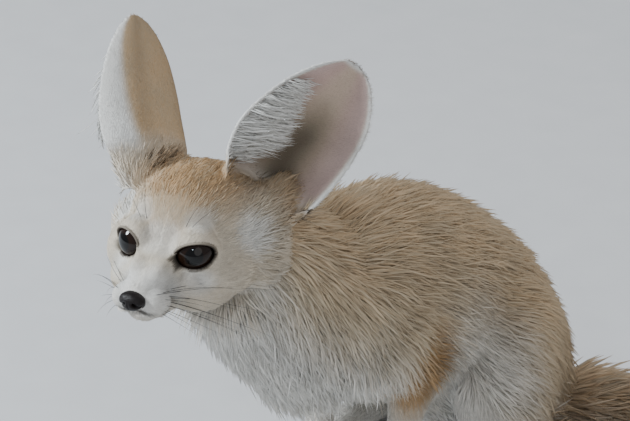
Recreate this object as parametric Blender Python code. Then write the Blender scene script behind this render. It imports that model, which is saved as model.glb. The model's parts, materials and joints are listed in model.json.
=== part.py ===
"""A life-size fennec fox that sits on the floor, its head stretched forward and turned a little to its left.

Frame: metres, +Z up, the trunk faces -Y, and +X is the animal's left. The outer faces are those of the coat.
The body is modelled whole from a few plain forms, melted into one skin, and parted with thin cuts.
"""

import math
import random

import bmesh
import bpy
from mathutils import Matrix, Vector
from mathutils.bvhtree import BVHTree

# Driving dimensions
MM = 0.001
GAP = 0.3 * MM  # what touching pieces keep between them
EYE_RADIUS = 11.6 * MM
EYE_PLACE = (16.8, 8, 0)  # the middle of the left ball, in millimetres from the point between the eyes
EYE_LOOK = (0.44, -0.89, 0.08)
# Each pair of lids, by side: degrees open towards the nose, towards the ear and upwards, and its tilt
LIDS = {1: (58, 64, 35, 5), -1: (50, 62, 40, -14)}
LID_ROLL = 1.25 * MM  # radius of the rolled edge of the lids
EAR_WALL = 2.6 * MM
CLAY_GRAIN = 2.2 * MM  # the size of the grid that melts the forms together
TRUNK_TRIANGLES, FACE_TRIANGLES = 1500, 1900  # of the skin before it is parted; the paws count with the face
HERE = Matrix.Identity(4)

# Where the head is: the point midway between the eyes, and how far the face turns, nods and tilts
HEAD_PLACE = Vector((6, -124, 232)) * MM
HEAD_TURN, HEAD_NOD, HEAD_TILT = math.radians(18.5), math.radians(-2), math.radians(-1)
HEAD = (
    Matrix.Translation(HEAD_PLACE)
    @ Matrix.Rotation(HEAD_TURN, 4, "Z")
    @ Matrix.Rotation(HEAD_NOD, 4, "X")
    @ Matrix.Rotation(HEAD_TILT, 4, "Y")
)

# Forms of the head, in millimetres from the point between the eyes: place, then half sizes
HEAD_BALLS = {
    "cranium": ((0, 44, 3), (37, 40, 31)),
    "brow": ((0, 24, 2.5), (28, 24, 18)),
    "cheek": ((25, 28, -12), (19, 27, 19)),
    "ruff": ((31, 44, -12), (20, 22, 21)),
    "jowl": ((17, 16, -22), (19, 25, 14)),
    "whisker_pad": ((8.5, -21, -19.5), (8.5, 9, 8)),
    "under_eye": ((14, 3, -16), (12.5, 15, 9.5)),
    "inner_corner": ((8.5, -2, -6), (6.5, 9.5, 7.5)),
    "bridge": ((6, -5, -7.5), (7, 14, 8)),
    "eye_seat": (EYE_PLACE, (13, 13, 13)),
}
# Runs along the head: x, y, z, half width, half height
MUZZLE = [(0, 14, -6, 21, 15), (0, -5, -10, 13, 11.3), (0, -17, -14.2, 11.2, 8.8), (0, -28, -17.3, 8.2, 6.8)]
JAW = [(0, 25, -28, 18, 9), (0, 1, -27.5, 13, 7.5), (0, -14, -28, 10, 5.5), (0, -23.5, -28.5, 7.5, 3.8)]
EAR_ROOT = [(24, 46, 1, 18, 18), (32, 60, 6, 17, 15), (38, 74, 16, 10, 10)]
MOUTH = [(0, -29.5, -24), (5, -27.5, -24.5), (9, -20, -24.5), (12.5, -9, -24), (16.5, 3, -21)]
NOSE_PLACE, NOSE_SIZE = (0, -30.5, -17), (7.4, 5.2, 5.3)
NOSTRIL_PLACE, NOSTRIL_SIZE = (3.4, -34.6, -16.7), (1.7, 2.6, 1.3)

# The ears, in the same frame: the middle of the opening's foot, the tip, and which way the opening looks
EARS = {
    "ear_left": ((38, 50, 20), (67, 97, 85), (0.62, -0.74, 0.25)),
    "ear_right": ((-41, 52, 20), (-71, 98, 89), (-0.88, 0.29, 0.1)),
}
# Along an ear from foot to tip: share of the length, half width, sideways bulge, half turn of the cup
EAR_SHAPE = [
    (-0.2, 16, 0, 104),
    (0.0, 23, -1, 94),
    (0.12, 28, -2.5, 82),
    (0.3, 31, -2.5, 68),
    (0.5, 30, -0.5, 58),
    (0.7, 25.5, 1.5, 50),
    (0.85, 18.5, 2.5, 44),
    (0.95, 10.5, 2.5, 38),
    (1.0, 3, 1, 30),
]

# Runs of the body, in millimetres: x, y, z, half width, half depth
NECK = [(5, -65, 208, 31, 34), (3, -41, 181, 38, 43), (0, -12, 156, 45, 50)]
TRUNK = [
    (0, -22, 154, 44, 46),
    (0, 14, 150, 52, 57),
    (0, 54, 142, 57, 64),
    (0, 94, 115, 61, 66),
    (0, 130, 79, 62, 61),
    (0, 158, 46, 56, 46),
]
BREAST = ((0, -8, 132), (35, 38, 37))
FORELEG = [
    (34, 12, 152, 23, 38),
    (37, 32, 130, 22, 31),
    (37, 44, 106, 17, 20),
    (34, 40, 76, 12.5, 13.5),
    (31, 33, 44, 10.5, 11),
    (30, 27, 22, 11, 11.5),
    (30, 19, 9, 13, 10),
]
THIGH = [(36, 128, 106, 28, 46), (54, 108, 92, 30, 48), (64, 88, 80, 28, 40), (70, 74, 66, 21, 27)]
SHANK = [(70, 77, 64, 19, 24), (67, 104, 46, 18, 22), (63, 140, 25, 13, 16), (62, 153, 15, 12, 12)]
HIND_FOOT = [(62, 157, 14, 12, 12), (63, 126, 12, 12, 11), (65, 95, 10, 12, 10), (66, 72, 9, 14, 9.5)]
TOE_SIZE = (5.2, 11, 7)  # half width, half length and half height of a toe
TOE_SPREAD = (-10.5, -3.7, 3.7, 10.5)
FORE_TOES, HIND_TOES = (30, 7, 6), (66, 60, 6)
CLAW = (1.5, 5)  # radius and length

# Cuts that part the body: a point and the way out of the piece, in millimetres, for the left side
FACE_CUT = [((0, 54, -6), (0, 0.78, -0.62))]  # in the head's frame
NECK_CUT = [((0, -32, 165), (0, 0.8, -0.6))]
FORELEG_CUT = [
    ((22, 20, 104), (-0.64, 0, 0.77)),
    ((13, 0, 0), (-1, 0, 0)),
    ((0, 66, 0), (0, 1, 0)),
    ((0, -10, 0), (0, -1, 0)),
]
HINDLEG_CUT = [
    ((50, 100, 70), (-0.96, 0, 0.28)),
    ((0, 44, 88), (0, -0.66, 0.75)),
    ((0, 38, 0), (0, -1, 0)),
]
FOREPAW_CUT = [((0, 0, 27), (0, 0, 1))]
HINDPAW_CUT = [((0, 126, 0), (0, 1, 0)), ((0, 0, 23), (0, 0, 1))]
FLOOR_CUT = [((0, 0, 0), (0, 0, -1))]

# The tail lies on the floor round the left side: x, y, half width, half height of its core
TAIL = [
    (6, 172, 14, 15),
    (30, 202, 16, 16),
    (74, 212, 19, 18),
    (116, 186, 21, 19),
    (132, 134, 20, 18),
    (126, 84, 17, 15),
    (108, 46, 11, 10),
    (99, 32, 5, 5),
]
TAIL_SINK = 0.94  # the share of its half height at which the middle of the tail lies over the floor
TAIL_CUTS = (0.4, 0.76)  # shares of its length

# Locks: flat tapered blades. Shares of the length, the width and the thickness at their stations, root to tip
BLADE_STATIONS = (0, 0.34, 0.7, 1)
BLADE_WIDTHS = (0.5, 1, 0.72)
BLADE_DEPTHS = (0.4, 1, 0.6)
BLADE_HEIGHTS = (0, 0.66, 1, 0.8)  # from the sunk root up to the full rise
BLADE_SINK = 2.4 * MM
BLADE_CLEAR = 1.4 * GAP  # kept from other nodes while a lock is laid
FLOOR_CLEAR = 0.5 * MM
FUSED_BY_MANIFOLD = ("neck", "ear_left", "ear_right")  # EXACT leaves the neck touching itself, loses the ears
# Where locks grow: how many, length, width, thickness, rise over the skin and spacing, in millimetres
COATS = {
    "head": (17, 24, 9, 3, 5, 7.5),
    "neck": (38, 33, 12, 3.6, 7, 10),
    "torso": (18, 33, 13, 3.6, 7, 11.5),
}
# Which way their hair lies, on the left side; it runs out to the sides where the place is off the middle
LIE = {"head": (0.55, 0.8, -0.4), "neck": (0, 0.5, -0.85), "torso": (0, 0.45, -0.9)}
LIE_FLARE = {"head": 0, "neck": 12, "torso": 8}
LIE_SPREAD = 0.2
# Where it grows: bounds of the distance from the middle, y and z, in the head's frame for the head
GROWS = {
    "head": ((24, 99), (26, 62), (-34, 6)),
    "neck": ((0, 99), (-999, 999), (-999, 999)),
    "torso": ((0, 99), (-999, 24), (92, 168)),
}
COAT_RISES = (1, 1.4, 1.9)  # tried in turn where a lock would touch another node
TAIL_LOCK = (44, 17, 4.2, 10)  # length, width, thickness and rise
TAIL_RISES = (1, 0.7, 0.45)
TAIL_RINGS, TAIL_ROUND = 10, 5
TAIL_ARC = (-0.16, 1.16)  # from the outer to the inner side over the top, in half turns
EAR_LOCK = (26, 8, 1.6)
EAR_LOCKS = 14
EAR_DROOP = (0.4, 0.15)  # of the lowest and the highest tuft, as a share of its length
EAR_LOCK_ROWS = (0.08, 0.82)  # shares of the ear's length
EAR_LOCK_ROOT = -0.8  # across the ear, near its front edge

WHITE, CREAM, RUFOUS, DARK = (0.78, 0.75, 0.7), (0.68, 0.57, 0.44), (0.5, 0.36, 0.24), (0.1, 0.075, 0.06)
COLOURS = {
    "head": CREAM,
    "ear_left": WHITE,
    "ear_right": (0.46, 0.36, 0.27),
    "nose": (0.035, 0.03, 0.032),
    "eye_left": (0.02, 0.016, 0.014),
    "eye_right": (0.02, 0.016, 0.014),
    "neck": CREAM,
    "torso": CREAM,
    "foreleg_left": RUFOUS,
    "foreleg_right": RUFOUS,
    "forepaw_left": WHITE,
    "forepaw_right": WHITE,
    "hindleg_left": CREAM,
    "hindleg_right": CREAM,
    "hindpaw_left": WHITE,
    "hindpaw_right": WHITE,
    "tail_base": CREAM,
    "tail_middle": RUFOUS,
    "tail_tip": DARK,
}


def scene_object(name, bm):
    """An object of the scene that takes over this mesh."""
    mesh = bpy.data.meshes.new(name)
    bm.to_mesh(mesh)
    bm.free()
    obj = bpy.data.objects.new(name, mesh)
    bpy.context.scene.collection.objects.link(obj)
    return obj


def apply_modifiers(obj):
    """Makes the evaluated shape the object's own mesh."""
    graph = bpy.context.evaluated_depsgraph_get()
    mesh = bpy.data.meshes.new_from_object(obj.evaluated_get(graph))
    obj.modifiers.clear()
    old, obj.data = obj.data, mesh
    bpy.data.meshes.remove(old)
    mesh.name = obj.name
    return obj


def combine(obj, other, operation, solver="EXACT"):
    """A Boolean with the other object, which then goes."""
    modifier = obj.modifiers.new(operation, "BOOLEAN")
    modifier.operation, modifier.object, modifier.solver = operation, other, solver
    apply_modifiers(obj)
    bpy.data.objects.remove(other)
    return obj


def duplicate(obj, name):
    copy = bpy.data.objects.new(name, obj.data.copy())
    bpy.context.scene.collection.objects.link(copy)
    return copy


def grown(obj, amount):
    """A copy whose skin lies outside this one by the amount."""
    bm = bmesh.new()
    bm.from_mesh(obj.data)
    bm.normal_update()
    moves = [v.normal * amount for v in bm.verts]
    for vertex, move in zip(bm.verts, moves):
        vertex.co += move
    return scene_object("grown", bm)


def pieces_of(bm):
    """The vertices of the mesh, in sets that hang together."""
    left = set(bm.verts)
    pieces = []
    while left:
        front = [left.pop()]
        piece = set(front)
        while front:
            vertex = front.pop()
            for edge in vertex.link_edges:
                other = edge.other_vert(vertex)
                if other in left:
                    left.discard(other)
                    piece.add(other)
                    front.append(other)
        pieces.append(piece)
    return pieces


def enclosed(faces):
    """The volume that these faces enclose."""
    volume = 0
    for face in faces:
        first = face.verts[0].co
        for a, b in zip(face.verts[1:], face.verts[2:]):
            volume += first.dot(a.co.cross(b.co)) / 6
    return volume


def keep_largest(obj):
    """Drops every loose bit but the largest closed surface."""
    bm = bmesh.new()
    bm.from_mesh(obj.data)
    pieces = pieces_of(bm)
    if len(pieces) > 1:
        sizes = [enclosed({f for v in piece for f in v.link_faces}) for piece in pieces]
        largest = pieces[sizes.index(max(sizes))]
        bmesh.ops.delete(bm, geom=[v for v in bm.verts if v not in largest], context="VERTS")
    bm.to_mesh(obj.data)
    bm.free()
    return obj


def smooth_run(points, steps):
    """A smooth line of number rows through the given rows, with steps between each two."""
    rows = [Vector(p) for p in points]
    ends = [2 * rows[0] - rows[1], *rows, 2 * rows[-1] - rows[-2]]
    line = []
    for a, b, c, d in zip(ends, ends[1:], ends[2:], ends[3:]):
        for i in range(steps):
            t = i / steps
            bend = (2 * a - 5 * b + 4 * c - d) * t**2 + (3 * b - a - 3 * c + d) * t**3
            line.append(0.5 * (2 * b + (c - a) * t + bend))
    line.append(rows[-1])
    return line


def add_ball(bm, place, half_sizes, matrix, fineness=4):
    """An ellipsoid, set in bm."""
    size = Matrix.Diagonal((*half_sizes, 1))
    bmesh.ops.create_icosphere(
        bm, subdivisions=fineness, radius=1, matrix=matrix @ Matrix.Translation(place) @ size
    )


def add_rings(bm, rings, poles):
    """A closed tube through rings of points that have the same count, with a pole at each end."""
    loops = [[bm.verts.new(p) for p in ring] for ring in rings]
    for low, high in zip(loops, loops[1:]):
        for i, corner in enumerate(low):
            j = (i + 1) % len(low)
            bm.faces.new((corner, low[j], high[j], high[i]))
    for loop, pole in ((loops[0], poles[0]), (loops[-1], poles[1])):
        tip = bm.verts.new(pole)
        for i, corner in enumerate(loop):
            bm.faces.new((corner, loop[(i + 1) % len(loop)], tip))


def round_section(centre, side, up, half_width, half_height, count):
    angles = [math.tau * i / count for i in range(count)]
    return [centre + side * half_width * math.cos(a) + up * half_height * math.sin(a) for a in angles]


def add_run(bm, stations, upward, matrix, steps=8, count=32, mirror=1, blunt=0.7):
    """A round-ended limb through stations of x, y, z, half width and half depth, in millimetres."""
    line = smooth_run([(s[0] * mirror, *s[1:]) for s in stations], steps)
    centres = [Vector(s[:3]) * MM for s in line]
    rings = []
    for i, station in enumerate(line):
        along = (centres[min(i + 1, len(line) - 1)] - centres[max(i - 1, 0)]).normalized()
        side = along.cross(upward).normalized()
        up = side.cross(along)
        ring = round_section(centres[i], side, up, station[3] * MM, station[4] * MM, count)
        rings.append([matrix @ p for p in ring])
    reach = [blunt * min(line[i][3:]) * MM for i in (0, -1)]
    poles = [
        matrix @ (centres[0] - (centres[1] - centres[0]).normalized() * reach[0]),
        matrix @ (centres[-1] + (centres[-1] - centres[-2]).normalized() * reach[1]),
    ]
    add_rings(bm, rings, poles)


def closed_object(name, bm):
    bmesh.ops.recalc_face_normals(bm, faces=bm.faces)
    return scene_object(name, bm)


def tube(name, points, radius, count=6, closed=False, ends=0.2):
    """A thin round tube through points; an open one tapers to its ends."""
    bm = bmesh.new()
    last = len(points) - 1
    rings = []
    for i, point in enumerate(points):
        before = points[i - 1] if i or closed else points[0]
        after = points[(i + 1) % len(points)] if i < last or closed else points[last]
        along = (after - before).normalized()
        side = along.cross(Vector((0.1, 0.2, 1))).normalized()
        share = 1 if closed else min(1, ends + 4 * min(i, last - i) / last)
        rings.append(round_section(point, side, side.cross(along), radius * share, radius * share, count))
    if closed:
        loops = [[bm.verts.new(p) for p in ring] for ring in rings]
        for low, high in zip(loops, loops[1:] + loops[:1]):
            for i in range(count):
                j = (i + 1) % count
                bm.faces.new((low[i], low[j], high[j], high[i]))
    else:
        add_rings(bm, rings, (points[0], points[last]))
    return closed_object(name, bm)


def head_forms(bm):
    """The plain forms of the skull, cheeks, muzzle and jaw."""
    for place, half_sizes in HEAD_BALLS.values():
        for mirror in (1, -1) if place[0] else (1,):
            spot = Vector((place[0] * mirror, *place[1:])) * MM
            add_ball(bm, spot, [s * MM for s in half_sizes], HEAD)
    level, upright = Vector((0, 0, 1)), Vector((0, 1, 0))
    add_run(bm, MUZZLE, level, HEAD)
    add_run(bm, JAW, level, HEAD)
    for mirror in (1, -1):
        add_run(bm, EAR_ROOT, upright, HEAD, mirror=mirror)


def add_toes(bm, front, mirror):
    """Four toes side by side, whose tips point to -Y, the middle two ahead."""
    for offset in TOE_SPREAD:
        place = Vector((front[0] * mirror + offset, front[1] + abs(offset) * 0.35, front[2])) * MM
        add_ball(bm, place, [s * MM for s in TOE_SIZE], HERE)


def body_forms(bm):
    """The plain forms of the trunk, neck and legs."""
    level, upright = Vector((0, 0, 1)), Vector((0, 1, 0))
    add_run(bm, NECK, level, HERE)
    add_run(bm, TRUNK, level, HERE)
    add_ball(bm, Vector(BREAST[0]) * MM, [s * MM for s in BREAST[1]], HERE)
    for mirror in (1, -1):
        add_run(bm, FORELEG, upright, HERE, mirror=mirror)
        for run in (THIGH, SHANK, HIND_FOOT):
            add_run(bm, run, level, HERE, mirror=mirror)
        add_toes(bm, FORE_TOES, mirror)
        add_toes(bm, HIND_TOES, mirror)


def ramp(value, low, high):
    return min(1, max(0, (value - low) / (high - low)))


def softness(place):
    """How much a spot may be smoothed: not at all on the face and the paws, fully on the trunk."""
    face = HEAD.inverted() @ place - Vector((0, 10, -5)) * MM
    return min(ramp(face.length, 52 * MM, 78 * MM), ramp(place.z, 22 * MM, 45 * MM))


def melted(name):
    """The forms melted into one skin, then thinned to the triangles that its shape needs."""
    bm = bmesh.new()
    head_forms(bm)
    body_forms(bm)
    obj = closed_object(name, bm)
    remesh = obj.modifiers.new("melt", "REMESH")
    remesh.mode = "VOXEL"
    remesh.voxel_size = CLAY_GRAIN
    apply_modifiers(obj)
    weights = [softness(vertex.co) for vertex in obj.data.vertices]
    soft, trunk = obj.vertex_groups.new(name="soft"), obj.vertex_groups.new(name="trunk")
    for i, weight in enumerate(weights):
        soft.add([i], weight, "REPLACE")
        trunk.add([i], round(weight), "REPLACE")
    for passes, limit in ((8, ""), (34, "soft")):
        soften = obj.modifiers.new("soften", "SMOOTH")
        soften.factor, soften.iterations, soften.vertex_group = 0.5, passes, limit
    faces = 2 * len(obj.data.polygons)
    fine = 2 * sum(weights[p.vertices[0]] < 0.5 for p in obj.data.polygons)
    for target, protect_trunk in ((TRUNK_TRIANGLES + fine, False), (TRUNK_TRIANGLES + FACE_TRIANGLES, True)):
        thin = obj.modifiers.new("thin", "DECIMATE")
        thin.ratio, faces = target / faces, target
        thin.vertex_group, thin.invert_vertex_group = "trunk", protect_trunk
    return keep_largest(apply_modifiers(obj))


def region(cuts, matrix, mirror, shift):
    """A large block cut by planes that lie further out by the shift."""
    bm = bmesh.new()
    bmesh.ops.create_cube(bm, size=1.6)
    for point, outward in cuts:
        point, outward = Vector(point) * MM, Vector(outward).normalized()
        point.x *= mirror
        outward.x *= mirror
        outward = matrix.to_3x3() @ outward
        point = matrix @ point + outward * shift
        geometry = [*bm.verts, *bm.edges, *bm.faces]
        cut = bmesh.ops.bisect_plane(bm, geom=geometry, plane_co=point, plane_no=outward, clear_outer=True)
        edges = [e for e in cut["geom_cut"] if isinstance(e, bmesh.types.BMEdge)]
        bmesh.ops.contextual_create(bm, geom=edges)
    return closed_object("region", bm)


def part_off(rest, name, cuts, matrix=HERE, mirror=1):
    """Takes what lies inside the cuts off the rest, as an object of this name, with a thin gap between."""
    piece = duplicate(rest, name)
    combine(piece, region(cuts, matrix, mirror, -GAP / 2), "INTERSECT")
    combine(rest, region(cuts, matrix, mirror, GAP / 2), "DIFFERENCE")
    keep_largest(rest)
    return keep_largest(piece)


def part_body(whole):
    """The whole skin parted into head, neck, torso, legs and paws."""
    combine(whole, region(FLOOR_CUT, HERE, 1, 0), "INTERSECT")
    nodes = {"head": part_off(whole, "head", FACE_CUT, HEAD)}
    nodes["neck"] = part_off(whole, "neck", NECK_CUT)
    for side, mirror in (("left", 1), ("right", -1)):
        for limb, cuts, paw, paw_cut in (
            ("hindleg", HINDLEG_CUT, "hindpaw", HINDPAW_CUT),
            ("foreleg", FORELEG_CUT, "forepaw", FOREPAW_CUT),
        ):
            leg = part_off(whole, f"{limb}_{side}", cuts, mirror=mirror)
            nodes[leg.name] = leg
            nodes[f"{paw}_{side}"] = part_off(leg, f"{paw}_{side}", paw_cut, mirror=mirror)
    whole.name = "torso"
    nodes["torso"] = whole
    return nodes


def eye_frame(mirror):
    """The middle of an eye, its look, and its axes to the outer corner and up, in the head's frame."""
    place = Vector((EYE_PLACE[0] * mirror, *EYE_PLACE[1:])) * MM
    look = Vector((EYE_LOOK[0] * mirror, *EYE_LOOK[1:])).normalized()
    outer = (look.cross(Vector((0, 0, -1))) * mirror).normalized()
    if outer.x * mirror < 0:
        outer.negate()
    up = Vector((0, 0, 1)) - look * look.z
    return place, look, outer, up.normalized()


def lid_line(mirror, radius, widen=1.0, count=22):
    """The almond of the lids' edge, on a ball of this radius round the eye."""
    place, look, outer, up = eye_frame(mirror)
    to_nose, to_ear, height, tilt = (math.radians(a) for a in LIDS[mirror])
    points = []
    for i in range(count):
        t = math.tau * i / count
        across = (to_ear if math.cos(t) > 0 else to_nose) * widen * math.cos(t)
        rise = height * widen * (math.sin(t) - 0.06 * (1 - math.cos(t)))
        side = across * math.cos(tilt) - rise * math.sin(tilt)
        lift = across * math.sin(tilt) + rise * math.cos(tilt)
        way = Matrix.Rotation(math.hypot(side, lift), 3, look.cross(outer * side + up * lift)) @ look
        points.append(HEAD @ (place + way * radius))
    return points


def lid_opening(mirror):
    """A cone from the middle of the eye out through the almond."""
    bm = bmesh.new()
    far = [bm.verts.new(p) for p in lid_line(mirror, EYE_RADIUS * 1.6, 0.97)]
    heart = bm.verts.new(HEAD @ eye_frame(mirror)[0])
    front = bm.verts.new(HEAD @ (eye_frame(mirror)[0] + eye_frame(mirror)[1] * EYE_RADIUS * 1.9))
    for i, corner in enumerate(far):
        after = far[(i + 1) % len(far)]
        bm.faces.new((corner, after, heart))
        bm.faces.new((after, corner, front))
    return closed_object("opening", bm)


def ball(name, place, half_sizes, matrix, fineness=3):
    bm = bmesh.new()
    add_ball(bm, place, half_sizes, matrix, fineness)
    return scene_object(name, bm)


def set_eyes(head):
    """Rolled lids round an almond opening over each ball, in a close socket. EXACT loses the head here."""
    eyes = {}
    for name, mirror in (("eye_left", 1), ("eye_right", -1)):
        place = eye_frame(mirror)[0]
        lids = tube("lids", lid_line(mirror, EYE_RADIUS + 0.9 * MM), LID_ROLL, closed=True)
        combine(head, lids, "UNION", "MANIFOLD")
        combine(head, lid_opening(mirror), "DIFFERENCE", "MANIFOLD")
        combine(head, ball("socket", place, [EYE_RADIUS + GAP] * 3, HEAD), "DIFFERENCE", "MANIFOLD")
        eyes[name] = ball(name, place, [EYE_RADIUS] * 3, HEAD)
    return eyes


def set_nose(head):
    """The bare pad in a close socket at the end of the muzzle, with two nostrils."""
    place, sizes = Vector(NOSE_PLACE) * MM, Vector(NOSE_SIZE) * MM
    combine(head, ball("socket", place, [s + GAP for s in sizes], HEAD), "DIFFERENCE")
    nose = ball("nose", place, sizes, HEAD)
    for mirror in (1, -1):
        spot = Vector((NOSTRIL_PLACE[0] * mirror, *NOSTRIL_PLACE[1:])) * MM
        turn = Matrix.Translation(spot) @ Matrix.Rotation(math.radians(-25 * mirror), 4, "Y")
        nostril = ball("nostril", (0, 0, 0), [s * MM for s in NOSTRIL_SIZE], HEAD @ turn, 1)
        combine(nose, nostril, "DIFFERENCE")
    return keep_largest(nose)


def on_skin(tree, points, inward):
    """The points moved to the skin, as seen from inside the head, then in by a little."""
    found = []
    for point in points:
        heart = HEAD @ (Vector((0, point.y + 8, point.z * 0.9)) * MM)
        place = HEAD @ (point * MM)
        hit = tree.ray_cast(heart, (place - heart).normalized())[0]
        found.append(hit - (place - heart).normalized() * inward if hit else place)
    return found


def set_mouth(head):
    """The line of the mouth from under the nose back to each corner, between two rolled lips."""
    bm = bmesh.new()
    bm.from_mesh(head.data)
    tree = BVHTree.FromBMesh(bm)
    bm.free()
    half = smooth_run(MOUTH, 3)
    whole = [Vector((-p.x, p.y, p.z)) for p in reversed(half[1:])] + half
    combine(head, tube("lips", on_skin(tree, whole, 0.6 * MM), 1.9 * MM), "UNION")
    combine(head, tube("line", on_skin(tree, whole, -1.1 * MM), 0.9 * MM), "DIFFERENCE")


def ear_frame(foot, tip, facing):
    """The ear's foot, length, and its axes: along it, across it to the back edge, and out of its opening."""
    foot, tip = Vector(foot) * MM, Vector(tip) * MM
    along = (tip - foot).normalized()
    out = Vector(facing)
    out = (out - along * out.dot(along)).normalized()
    across = out.cross(along) * -math.copysign(1, foot.x)
    return foot, (tip - foot).length, along, across, out


def ear_skin(frame, row, v, depth):
    """A point of the ear's wall: v runs from -1 at the front edge to 1 at the back edge."""
    foot, length, along, across, out = frame
    share, half_width, bulge, half_turn = row
    turn = math.radians(half_turn)
    radius = half_width * MM / math.sin(turn)
    toward = across * math.sin(v * turn) - out * math.cos(v * turn)
    centre = foot + along * share * length + across * bulge * MM + out * half_width * MM / math.tan(turn)
    return centre + toward * (radius + depth)


def ear_shell(name, steps=2, columns=8):
    """The cupped wall of one ear, alike in its faces inside and out."""
    frame = ear_frame(*EARS[name])
    rows = smooth_run(EAR_SHAPE, steps)
    edge = [-1 + 2 * i / columns for i in range(columns + 1)]
    bm = bmesh.new()

    def layer(depth):
        return [
            [
                bm.verts.new(HEAD @ ear_skin(frame, row, v, depth * (0.6 + 0.4 * math.cos(v * math.pi / 2))))
                for v in edge
            ]
            for row in rows
        ]

    inner, outer = layer(0), layer(EAR_WALL)
    last = len(rows) - 1
    for i in range(last):
        for j in range(columns):
            for face in (inner, outer):
                a, b, c, d = face[i][j], face[i][j + 1], face[i + 1][j + 1], face[i + 1][j]
                bm.faces.new((a, b, c))
                bm.faces.new((a, c, d))
        for j in (0, columns):
            bm.faces.new((inner[i][j], inner[i + 1][j], outer[i + 1][j], outer[i][j]))
    for j in range(columns):
        for i in (0, last):
            bm.faces.new((inner[i][j], inner[i][j + 1], outer[i][j + 1], outer[i][j]))
    return closed_object(name, bm)


def set_ears(head, neck):
    """Both ears, each ending where it meets the head and the neck. EXACT loses the left one here."""
    ears = {name: ear_shell(name) for name in EARS}
    for ear in ears.values():
        for other in (head, neck):
            combine(ear, grown(other, GAP), "DIFFERENCE", "MANIFOLD")
            keep_largest(ear)
    return ears


def tree_of(obj):
    """The object's skin, to measure against."""
    return BVHTree.FromPolygons(
        [v.co for v in obj.data.vertices], [tuple(p.vertices) for p in obj.data.polygons]
    )


def blade_mesh(spine, ups, width, thickness, grow=0):
    """A flat blade with a low ridge along its spine, with the way up at each station but the tip."""
    rings = []
    for i, (point, up) in enumerate(zip(spine, ups)):
        along = (spine[i + 1] - spine[max(i - 1, 0)]).normalized()
        side = along.cross(up).normalized()
        lift = side.cross(along)
        reach = side * (BLADE_WIDTHS[i] * width / 2 + grow)
        foot, ridge = -lift * (0.3 * thickness + grow), lift * (BLADE_DEPTHS[i] * 0.7 * thickness + grow)
        rings.append([point + reach + foot, point + ridge, point - reach + foot])
    first, last = (spine[1] - spine[0]).normalized(), (spine[-1] - spine[-2]).normalized()
    bm = bmesh.new()
    add_rings(bm, rings, (spine[0] - first * (grow + 0.3 * MM), spine[-1] + last * grow))
    bmesh.ops.triangulate(bm, faces=bm.faces)
    bmesh.ops.recalc_face_normals(bm, faces=bm.faces)
    return bm


def inside(tree, place, depth):
    """Whether the place is at least this deep under the skin."""
    near, normal, _, distance = tree.find_nearest(place)
    return distance > depth and (place - near).dot(normal) < 0


def blade(spine, ups, width, thickness, own, others, depth=0.3 * MM):
    """A lock with its root held in its own node, clear of the other nodes and of the floor, or None."""
    bm = blade_mesh(spine, ups, width, thickness)
    bm.verts.ensure_lookup_table()
    held = all(inside(own, v.co, depth) for v in bm.verts[:3])
    over_floor = all(v.co.z > FLOOR_CLEAR for v in bm.verts)
    if held and over_floor:
        fat = blade_mesh(spine, ups, width, thickness, BLADE_CLEAR)
        fat_tree = BVHTree.FromBMesh(fat)
        fat.free()
        if not any(fat_tree.overlap(other) for other in others):
            return scene_object("lock", bm)
    bm.free()
    return None


def laid(tree, root, lie, length, sink, rise):
    """The spine of a lock that follows the skin from its root, and the ways up along it."""
    place, normal = tree.find_nearest(root)[:2]
    spine, ups = [], []
    before = 0
    for share, height in zip(BLADE_STATIONS, BLADE_HEIGHTS):
        step = lie - normal * lie.dot(normal)
        place = place + step.normalized() * length * (share - before)
        place, normal = tree.find_nearest(place)[:2]
        before = share
        spine.append(place + normal * (height * (rise + sink) - sink))
        ups.append(normal)
    return spine, ups[:-1]


def laid_clear(skin, root, lie, sizes, rises, own, others):
    """The lock laid with the first of these rises that keeps it clear, or None."""
    length, width, thickness = sizes
    for rise in rises:
        spine, ups = laid(skin, root, lie, length, BLADE_SINK, rise)
        lock = blade(spine, ups, width, thickness, own, others)
        if lock:
            return lock
    return None


def lie_of_coat(name, place, dice):
    """Which way the hair lies: back over the cheeks, down the throat and the breast, back along the neck."""
    way = Vector(LIE[name])
    if name == "head":
        way.x = math.copysign(way.x, (HEAD.inverted() @ place).x)
        way = HEAD.to_3x3() @ way
    way.x += place.x * LIE_FLARE[name]
    return way + Vector([dice.uniform(-LIE_SPREAD, LIE_SPREAD) for _ in range(3)])


def coat_grows(name, place):
    """Whether long hair grows at this place of the node."""
    spot = (HEAD.inverted() @ place if name == "head" else place) / MM
    return all(low < value < high for value, (low, high) in zip((abs(spot.x), spot.y, spot.z), GROWS[name]))


def scattered(node, name, tries, dice):
    """Even-handed random places on the node's skin where its long hair grows."""
    mesh = node.data
    mesh.calc_loop_triangles()
    triangles = list(mesh.loop_triangles)
    areas = [t.area for t in triangles]
    places = []
    for triangle in dice.choices(triangles, areas, k=tries):
        a, b, c = (mesh.vertices[i].co for i in triangle.vertices)
        u, v = sorted((dice.random(), dice.random()))
        place = a * u + b * (v - u) + c * (1 - v)
        if coat_grows(name, place):
            places.append(place)
    return places


def fuse(node, blades):
    """The locks fused to the node in one union."""
    group = bpy.data.collections.new("locks")
    for lock in blades:
        group.objects.link(lock)
    modifier = node.modifiers.new("locks", "BOOLEAN")
    modifier.operation, modifier.operand_type, modifier.collection = "UNION", "COLLECTION", group
    modifier.solver = "MANIFOLD" if node.name in FUSED_BY_MANIFOLD else "EXACT"
    apply_modifiers(node)
    for lock in blades:
        bpy.data.objects.remove(lock)
    bpy.data.collections.remove(group)
    return keep_largest(node)


def others_of(nodes, name):
    return [tree_of(node) for other, node in nodes.items() if other != name]


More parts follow.
